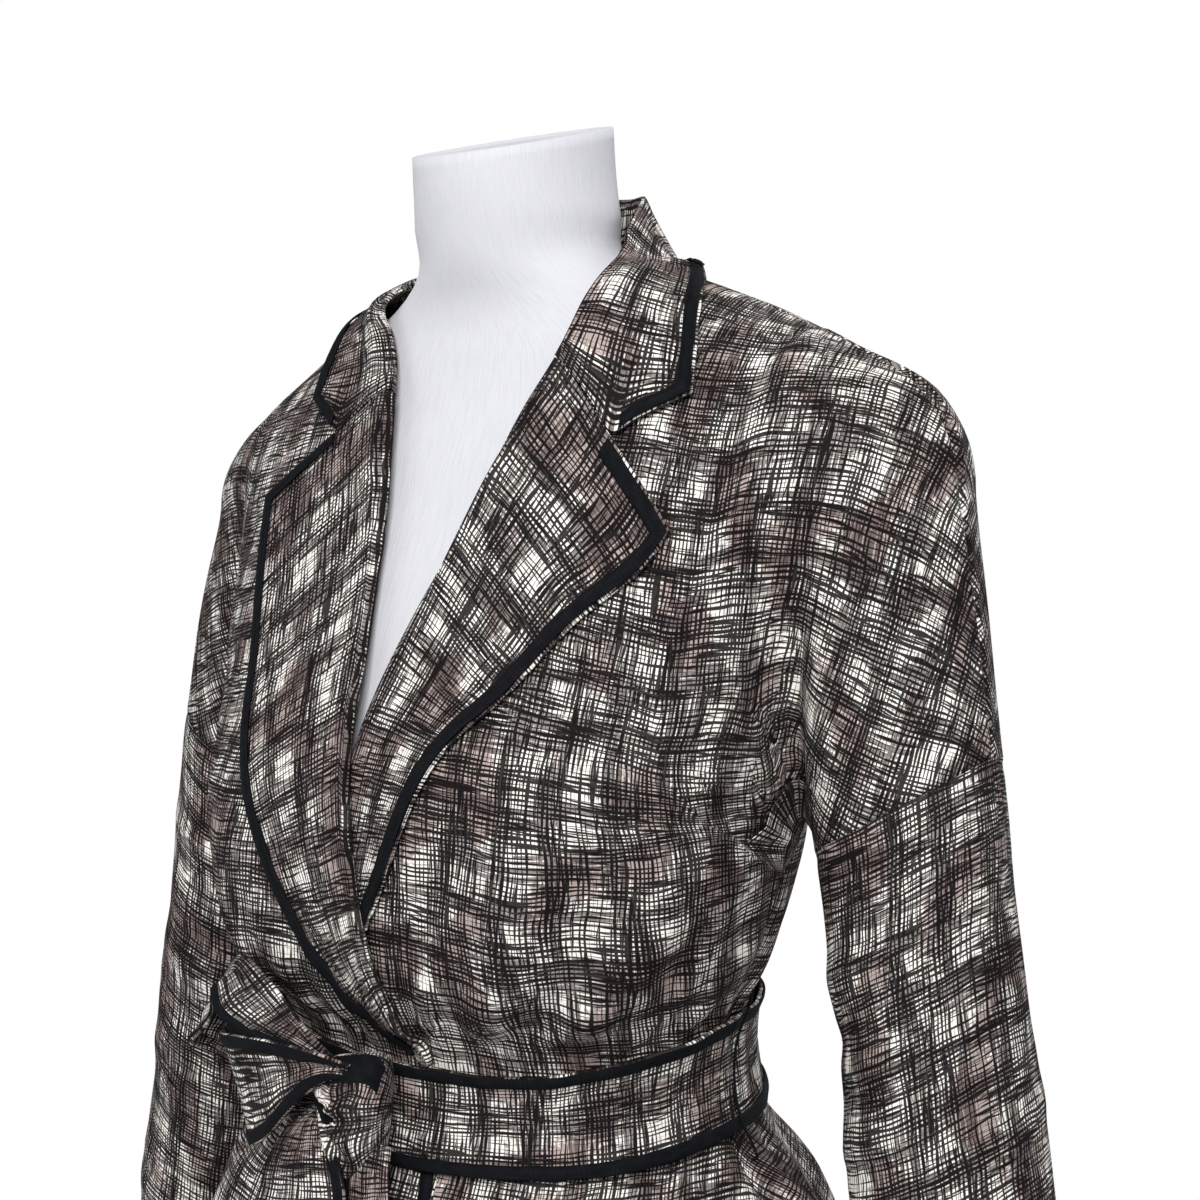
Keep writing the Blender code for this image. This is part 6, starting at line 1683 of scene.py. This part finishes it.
# ---- belt and bow ------------------------------------------------------------
@dataclass
class Belt:
    """The tied belt: its band, knot, two loops and two tails, each edged with binding."""

    columns: int = 260
    rows: int = 15
    ribbon_columns: int = 25
    knot_columns: int = 160
    knot_rows: int = 120
    tape_stations: int = 60
    carrier_stations: int = 160
    cotton: PrintedCotton = field(default_factory=PrintedCotton)
    twill: NavyTwill = field(default_factory=NavyTwill)

    @staticmethod
    def line(turn: Array, height: Array) -> tuple[Array, Array]:
        """Points of the belt: turn is the angle round the waist, height from its middle line."""
        ahead = np.cos(turn)
        dip = -BELT_DIP * ahead * ease(-0.2, 1.0, ahead)
        z = WAIST_Z + BELT_MIDDLE + dip + height * (1.0 - BELT_SQUEEZE * ease(0.55, 1.0, ahead))
        width, middle, front, back = np.moveaxis(coat_cut(z), -1, 0)[:4]
        depth = np.where(ahead > 0, front, back)
        return Figure.lay(np.stack([width * np.sin(turn), middle - depth * ahead, z], -1))

    def band(self, heights: Array, rise: float) -> Array:
        """A closed band round the waist, dented softly along its length."""
        turn = np.linspace(-np.pi, np.pi, self.columns + 1)[None, :]
        points, normals = self.line(turn, np.asarray(heights)[:, None])
        share = np.asarray(heights)[:, None] / (BELT_HEIGHT / 2)
        dent = 0.0006 * np.sin(9 * turn + 2.0 * share) + 0.0004 * np.sin(23 * turn - 3.0 * share)
        points = points + normals * (rise + 0.0006 + dent)[..., None]
        points[:, -1] = points[:, 0]
        return points

    @staticmethod
    def ribbon(table: Table, rows: int, columns: int) -> tuple[Array, Array]:
        """A strip through a table of centres and half widths; returns its points and normals.

        Its middle stands out from its edges, and small pleats run along it, deepest where the
        strip is narrow: they are sine waves across it.
        """
        data = smooth_table(table)(np.linspace(0.0, 1.0, rows))
        centre, half = data[:, None, :3], data[:, None, 3:6]
        across = np.linspace(-1.0, 1.0, columns)[None, :, None]
        along = np.gradient(data[:, :3], axis=0)[:, None, :]
        normal = unit(np.cross(along, half))
        narrow = 1.0 - np.clip(np.linalg.norm(half, axis=-1, keepdims=True) / (BELT_HEIGHT / 2), 0.0, 1.0)
        pleat = PLEAT_DEPTH * narrow * np.sin(across * (5.5 + 2.0 * narrow) + 0.8) * (1 - across**6)
        points = centre + half * across + normal * (RIBBON_DOME * (1 - across**2) + pleat)
        return points, normal + 0 * across

    def edging(self, name: str, points: Array, normals: Array, sides: Sequence[int],
               face: int) -> list[Piece]:
        """Tape along one or both long edges of a strip, on the face to which its normals point.

        Args:
            name: the strip's name.
            points: its grid.
            normals: its normals, one for each point.
            sides: -1 for the tape on its first column, 1 for the last.
            face: 1 for the face of the normals, -1 for the other one.

        Returns:
            The tapes.
        """
        tapes = []
        for side in sides:
            grid = points if side < 0 else points[:, ::-1]
            run = arc_length(grid, 1)
            width = np.minimum(BINDING_WIDTH, 0.30 * run[:, -1])
            lines = [inset_line(grid, 0.0004), inset_line(grid, width)]
            outer, inner = (lines[1], lines[0]) if side * face < 0 else (lines[0], lines[1])
            label = "upper" if side > 0 else "lower"
            lift = RIBBON_WALL / 2 + 0.0002 - CLOTH
            out = normals[:, 0] * face
            tapes.append(tape(f"{name}_tape_{label}", outer, inner, out, lift).dress(self.twill))
        return tapes

    @staticmethod
    def on_knot(x: Array, y: Array, z: Array, swell: Array) -> Array:
        """Points on the knot: a squared egg, wider above than below, that climbs to one side.

        Args:
            x: shares of its half width, to the wearer's left.
            y: shares of its half depth, to the back.
            z: shares of its half height, up.
            swell: factor on the depth.

        Returns:
            Points, with a last axis of three.
        """
        across = x * KNOT_HALF[0] * (1 + KNOT_TAPER * z)
        offset = np.stack([across, y * swell * KNOT_HALF[1], z * KNOT_HALF[2] + KNOT_SLANT * across], -1)
        return np.array(KNOT_CENTRE) + offset

    @staticmethod
    def pleated(x: Array, y: Array, z: Array) -> Array:
        """Factor on the knot's depth: its front is gathered in pleats that fan from a hollow."""
        front = ease(0.2, -0.4, y) * ease(0.70, 0.35, z)
        fan = np.arctan2(z - 0.28, x + 0.85)
        crease = np.sin(16.0 * fan + 1.2) * ease(-0.75, -0.1, x)
        hollow = np.exp(-(((x + 0.45) / 0.34) ** 2 + ((z - 0.25 + 0.45 * (x + 0.45)) / 0.12) ** 2))
        return 1.0 + front * (0.12 * crease - 0.35 * hollow)

    def knot(self) -> None:
        """The knot, the binding along its top, and a dark crescent of navy tape laid in its deepest pleat as
        painted shadow of the pocket under the fold.
        """
        turn = np.linspace(0.0, 2 * np.pi, self.knot_columns + 1)[None, :]
        pole = np.linspace(0.01, np.pi - 0.01, self.knot_rows + 1)[:, None]
        power = KNOT_SQUARE
        square = (np.abs(np.cos(turn)) ** power + np.abs(np.sin(turn)) ** power) ** (-1 / power)
        x, z = np.cos(turn) * square * np.sin(pole), np.sin(turn) * square * np.sin(pole)
        y = -np.cos(pole) + 0 * turn
        points = self.on_knot(x, y, z, self.pleated(x, y, z))
        points[:, -1] = points[:, 0]
        ends = [np.repeat(grid.mean(axis=1, keepdims=True), points.shape[1], 1)
                for grid in (points[:1], points[-1:])]
        points = np.concatenate([ends[0], points, ends[1]])
        reach = np.concatenate([[[0.0]], pole, [[np.pi]]])
        flat = np.stack([reach * np.cos(turn) * KNOT_HALF[0], reach * np.sin(turn) * KNOT_HALF[2]], -1)
        Piece("knot_cloth", [Patch(points[:, ::-1], flat[:, ::-1])]).dress(self.cotton).stands_for("knot")
        over = np.linspace(-0.95, 0.94, self.tape_stations)[:, None]
        top = (1 - np.abs(over) ** power) ** (1 / power)
        share = np.linspace(0.0, 1.0, TAPE_COLUMNS)[None, :]
        # Painted shadow: the second tape is a navy crescent laid in the knot's hollow, where it stands in for
        # the shade of the pocket under the fold.
        shadow_run = np.linspace(-0.84, -0.14, self.tape_stations)[:, None]
        shadow_half = 0.115 * np.sin(np.pi * (shadow_run + 0.87) / 0.76) ** 0.7
        for name, x, z in (("knot_tape", over, top * 0.985 - KNOT_TAPE * (1 - share)),
                           ("knot_painted_shadow_tape", shadow_run, 0.25 - 0.45 * (shadow_run + 0.45) + shadow_half * (2 * share - 1))):
            x = x + 0 * share
            y = -np.sqrt(1 - (np.abs(x) ** power + np.abs(z) ** power) ** (2 / power))
            grid = self.on_knot(x, y, z, self.pleated(x, y, z))
            out = unit(grid - np.array(KNOT_CENTRE) + np.array([0.0, 0.004, 0.0]))
            patch = laid_out(grid + out * (BINDING_GAP + TAPE_DOME * dome(share)[..., None]))
            Piece(name, [Patch(patch.points[::-1], patch.uv[::-1])]).dress(self.twill)

    def carrier(self, name: str, flip: bool) -> None:
        """A thread carrier: two fine strands twisted round one route."""
        share = np.linspace(0.0, 1.0, self.carrier_stations)
        route = smooth_table(CARRIER_ROUTE)(share**0.9)
        points, normals = self.line(np.radians(route[:, 0]), route[:, 1])
        middle = points + normals * route[:, 2:3]
        along = unit(np.gradient(middle, axis=0))
        out = square_to(normals, along)
        cross = np.cross(along, out)
        twist = arc_length(middle[None], 1)[0] / STRAND_TURN * 2 * np.pi
        ring = np.linspace(0.0, 2 * np.pi, 9)
        strands = []
        for start in (0.0, np.pi):
            place = middle + STRAND_OFFSET * (out * np.cos(twist + start)[:, None]
                                              + cross * np.sin(twist + start)[:, None])
            tube = place[:, None] + STRAND * (out[:, None] * np.cos(ring)[None, :, None]
                                              + cross[:, None] * np.sin(ring)[None, :, None])
            tube[:, -1] = tube[:, 0]
            strands.append(laid_out(mirrored(tube) if flip else tube))
        Piece(name + "_thread", strands).dress(self.twill).stands_for(name)

    def build(self) -> None:
        """Make the band, its tapes, the knot, the loops, the tails and the thread carriers."""
        half, inside = BELT_HEIGHT / 2, BELT_HEIGHT / 2 - BINDING_WIDTH
        band = laid_out(self.band(np.linspace(-half, half, self.rows), BELT_RISE))
        trims = []
        for edge, low, high in (("top", inside, half), ("bottom", -half, -inside)):
            points = self.band(np.linspace(low, high, TAPE_COLUMNS), BELT_RISE + BELT_WALL + 0.0002)
            share = np.linspace(0.02, 0.98, TAPE_COLUMNS)[:, None, None]
            patch = laid_out(points + unit(points * (1, 1, 0)) * TAPE_DOME * dome(share))
            piece = Piece(f"belt_tape_{edge}", [Patch(patch.points, patch.uv[..., ::-1])], BINDING)
            trims.append(piece.dress(self.twill).stands_for(f"belt_binding_{edge}"))
        piece = Piece("belt_cloth", [band], BELT_WALL).dress(self.cotton).stands_for("belt")
        piece.cloth("stretched", ["front_left_cloth", "front_right_cloth", "back_cloth"], trims)
        self.knot()
        for name, table, rows, sides, face in (("bow_loop_front", BOW_FRONT, 150, (-1, 1), -1),
                                               ("bow_loop_upper", BOW_UPPER, 150, (-1,), -1),
                                               ("tail_front", TAIL_FRONT, 120, (1,), 1),
                                               ("tail_back", TAIL_BACK, 120, (-1,), 1)):
            points, normals = self.ribbon(table, rows, self.ribbon_columns)
            tapes = self.edging(name, points, normals, sides, face)
            patch = laid_out(points)
            piece = Piece(name + "_cloth", [patch], RIBBON_WALL, 0.0).dress(self.cotton)
            piece.stands_for(name).cloth("hung", ["knot_cloth"], tapes)
        self.carrier("thread_carrier_left", False)
        self.carrier("thread_carrier_right", True)


# ---- dress form and stand ----------------------------------------------------
@dataclass
class DressForm:
    """The form's torso in knitted white cloth, its neck cut by a tilted plane."""

    columns: int = 144
    rows: int = 150
    jersey: WhiteJersey = field(default_factory=WhiteJersey)

    def ring(self, heights: Array) -> Array:
        """Level superelliptic rings, leaning forward near the neck's top."""
        turn = np.linspace(0.0, 2 * np.pi, self.columns + 1)[None, :]
        cuts = np.moveaxis(form_cut(heights), -1, 0)[..., None]
        width, middle, front, back, front_square, back_square = cuts
        ahead = np.cos(turn) > 0
        square = np.where(ahead, front_square, back_square)
        reach = (np.abs(np.sin(turn)) ** square + np.abs(np.cos(turn)) ** square) ** (-1 / square)
        x = width * np.sin(turn) * reach
        y = middle - np.where(ahead, front, back) * np.cos(turn) * reach
        near_top = ease(NECK_LEAN_Z, NECK_TOP_Z, heights)[:, None]
        z = heights[:, None] + near_top * (NECK_SLOPE[0] * x + NECK_SLOPE[1] * y)
        points = np.stack([x, y, z], -1)
        points[:, -1] = points[:, 0]
        return points

    def build(self) -> None:
        """Make the torso with a soft rim and a flat top, sunk a little."""
        heights = np.linspace(TORSO_FOOT_Z, NECK_TOP_Z, self.rows)
        body = self.ring(heights)
        centre = body[-1, :-1].mean(axis=0)
        inward = unit(centre - body[-1])
        rim = [body[-1] + inward * a + np.array([0, 0, b]) for a, b in ((0.0009, 0.0004), (0.0022, 0.0004))]
        turn = np.linspace(0.0, 2 * np.pi, self.columns + 1)
        disc = [centre + (body[-1] - centre) * share + np.array([0, 0, -0.0016 if share > 0.9 else -0.0010])
                for share in (0.93, 0.80, 0.6, 0.4, 0.2, 0.0)]
        foot_centre = body[0, :-1].mean(axis=0)
        foot = [foot_centre + (body[0] - foot_centre) * share for share in (0.0, 0.5, 0.98)]
        points = np.concatenate([np.array(foot), body, np.array(rim), np.array(disc)])
        points[:, -1] = points[:, 0]
        u = turn[None, :] * TORSO_RADIUS + 0 * points[..., 0]
        v = arc_length(points, 0).mean(axis=1)[:, None] + 0 * u
        Piece("dress_form_cover", [Patch(points, np.stack([u, v], -1))]).dress(self.jersey).stands_for(
            "dress_form")


def dress_stand() -> None:
    """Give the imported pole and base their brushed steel."""
    for name in ("stand_pole", "stand_base"):
        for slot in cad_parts[name].material_slots:
            slot.material = SatinSteel().material()
        LOG.info("%s: brushed steel", name)


# ---- studio ------------------------------------------------------------------
@dataclass
class Studio:
    """A pale floor, soft area lights and the camera at the photograph's angle."""

    angle: float = 38.7
    centre: tuple = (0.0, 0.03)
    distance: float = 1.0
    height: float = 1.331
    yaw: float = -1.9
    pitch: float = -5.9
    roll: float = 0.02
    lens: float = 52.83
    sensor: float = 36.0
    floor_half: float = 1.35
    aim: tuple = (0.0, 0.0, 1.1)
    lamps: tuple = (("key", (1.25, -1.85, 2.7), 1.1, 76.0), ("fill", (-1.8, -1.9, 1.9), 2.0, 13.0),
                    ("back", (0.8, 2.2, 2.3), 1.6, 20.0))

    @staticmethod
    def put(name: str, data: bpy.types.ID, axes: Sequence[Array], place: Sequence[float]) -> bpy.types.Object:
        """Place a lamp or the camera; axes are its right, its up and its back."""
        turn = np.eye(4)
        turn[:3, :3], turn[:3, 3] = np.stack(axes, -1), place
        item = bpy.data.objects.new(name, data)
        item.matrix_world = Matrix(turn.tolist())
        bpy.context.scene.collection.objects.link(item)
        return item

    def floor(self) -> None:
        """A wide plain plane."""
        x, y = np.meshgrid(*2 * [np.linspace(-self.floor_half, self.floor_half, 5)])
        mesh = bpy.data.meshes.new("floor")
        mesh.from_pydata(np.stack([x, y, 0 * x], -1).reshape(-1, 3), [], grid_quads(x.shape).tolist())
        plane = bpy.data.objects.new("floor", mesh)
        bpy.context.scene.collection.objects.link(plane)
        material, board, shader = new_material("pale_floor")
        board.fill(shader, {"Base Color": (0.80, 0.80, 0.80, 1.0), "Roughness": 0.9})
        mesh.materials.append(material)

    def light(self, name: str, place: Sequence[float], size: float, power: float) -> None:
        """One square area light at a place, turned to the aim."""
        lamp = bpy.data.lights.new(name, "AREA")
        lamp.size, lamp.energy = size, power
        back = unit(np.array(place, float) - np.array(self.aim, float))
        right = unit(np.cross((0.0, 0.0, 1.0), back))
        self.put(name, lamp, (right, np.cross(back, right), back), place)

    def world(self) -> None:
        """Pale even surroundings, pure white where the camera looks past the object."""
        world = bpy.data.worlds.new("studio")
        bpy.context.scene.world = world
        world.use_nodes = True
        board = NodeBoard(world.node_tree)
        world.node_tree.nodes.clear()
        soft = board.add("ShaderNodeBackground", {"Color": (0.93, 0.95, 1.0, 1.0), "Strength": 0.38})
        white = board.add("ShaderNodeBackground", {"Color": (1.0, 1.0, 1.0, 1.0), "Strength": 1.0})
        seen = board.add("ShaderNodeLightPath").outputs["Is Camera Ray"]
        mix = board.add("ShaderNodeMixShader", {0: seen, 1: soft.outputs[0], 2: white.outputs[0]})
        board.add("ShaderNodeOutputWorld", {"Surface": mix.outputs[0]})

    def camera(self) -> None:
        """The camera from the photograph: its place on a circle, then yaw, pitch and roll."""
        around, heading = math.radians(self.angle), math.radians(self.angle + self.yaw)
        place = np.array([self.distance * math.sin(around) + self.centre[0],
                          -self.distance * math.cos(around) + self.centre[1], self.height])
        dip = math.radians(self.pitch)
        ahead = np.array([-math.sin(heading) * math.cos(dip), math.cos(heading) * math.cos(dip),
                          math.sin(dip)])
        right = np.array([math.cos(heading), math.sin(heading), 0.0])
        up = np.cross(right, ahead)
        lens = bpy.data.cameras.new("camera")
        lens.lens, lens.sensor_width, lens.sensor_fit = self.lens, self.sensor, "HORIZONTAL"
        lens.clip_start = 0.05
        axes = (right * math.cos(self.roll) - up * math.sin(self.roll),
                up * math.cos(self.roll) + right * math.sin(self.roll), -ahead)
        bpy.context.scene.camera = self.put("camera", lens, axes, place)

    def build(self) -> None:
        """Set up the camera, the floor, the surroundings and the lights."""
        self.camera()
        self.floor()
        self.world()
        for lamp in self.lamps:
            self.light(*lamp)
        bpy.context.scene.view_settings.view_transform = "Standard"


def main() -> None:
    """Build every sub-assembly in order."""
    logging.basicConfig(level=logging.INFO, format="%(message)s")
    Studio().build()
    DressForm().build()
    dress_stand()
    panels = CoatBody().build()
    fronts = (Front(panels["left"][0], no_lift), Front(panels["right"][0], overlap_lift))
    Lapel("left", LEFT_LAPEL, NOTCH_SHARES[0], fronts[0], False).build()
    Lapel("right", RIGHT_LAPEL, NOTCH_SHARES[1], fronts[1], True).build()
    Collar(fronts).build()
    Belt().build()
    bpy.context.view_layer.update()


if __name__ == "__main__":
    main()
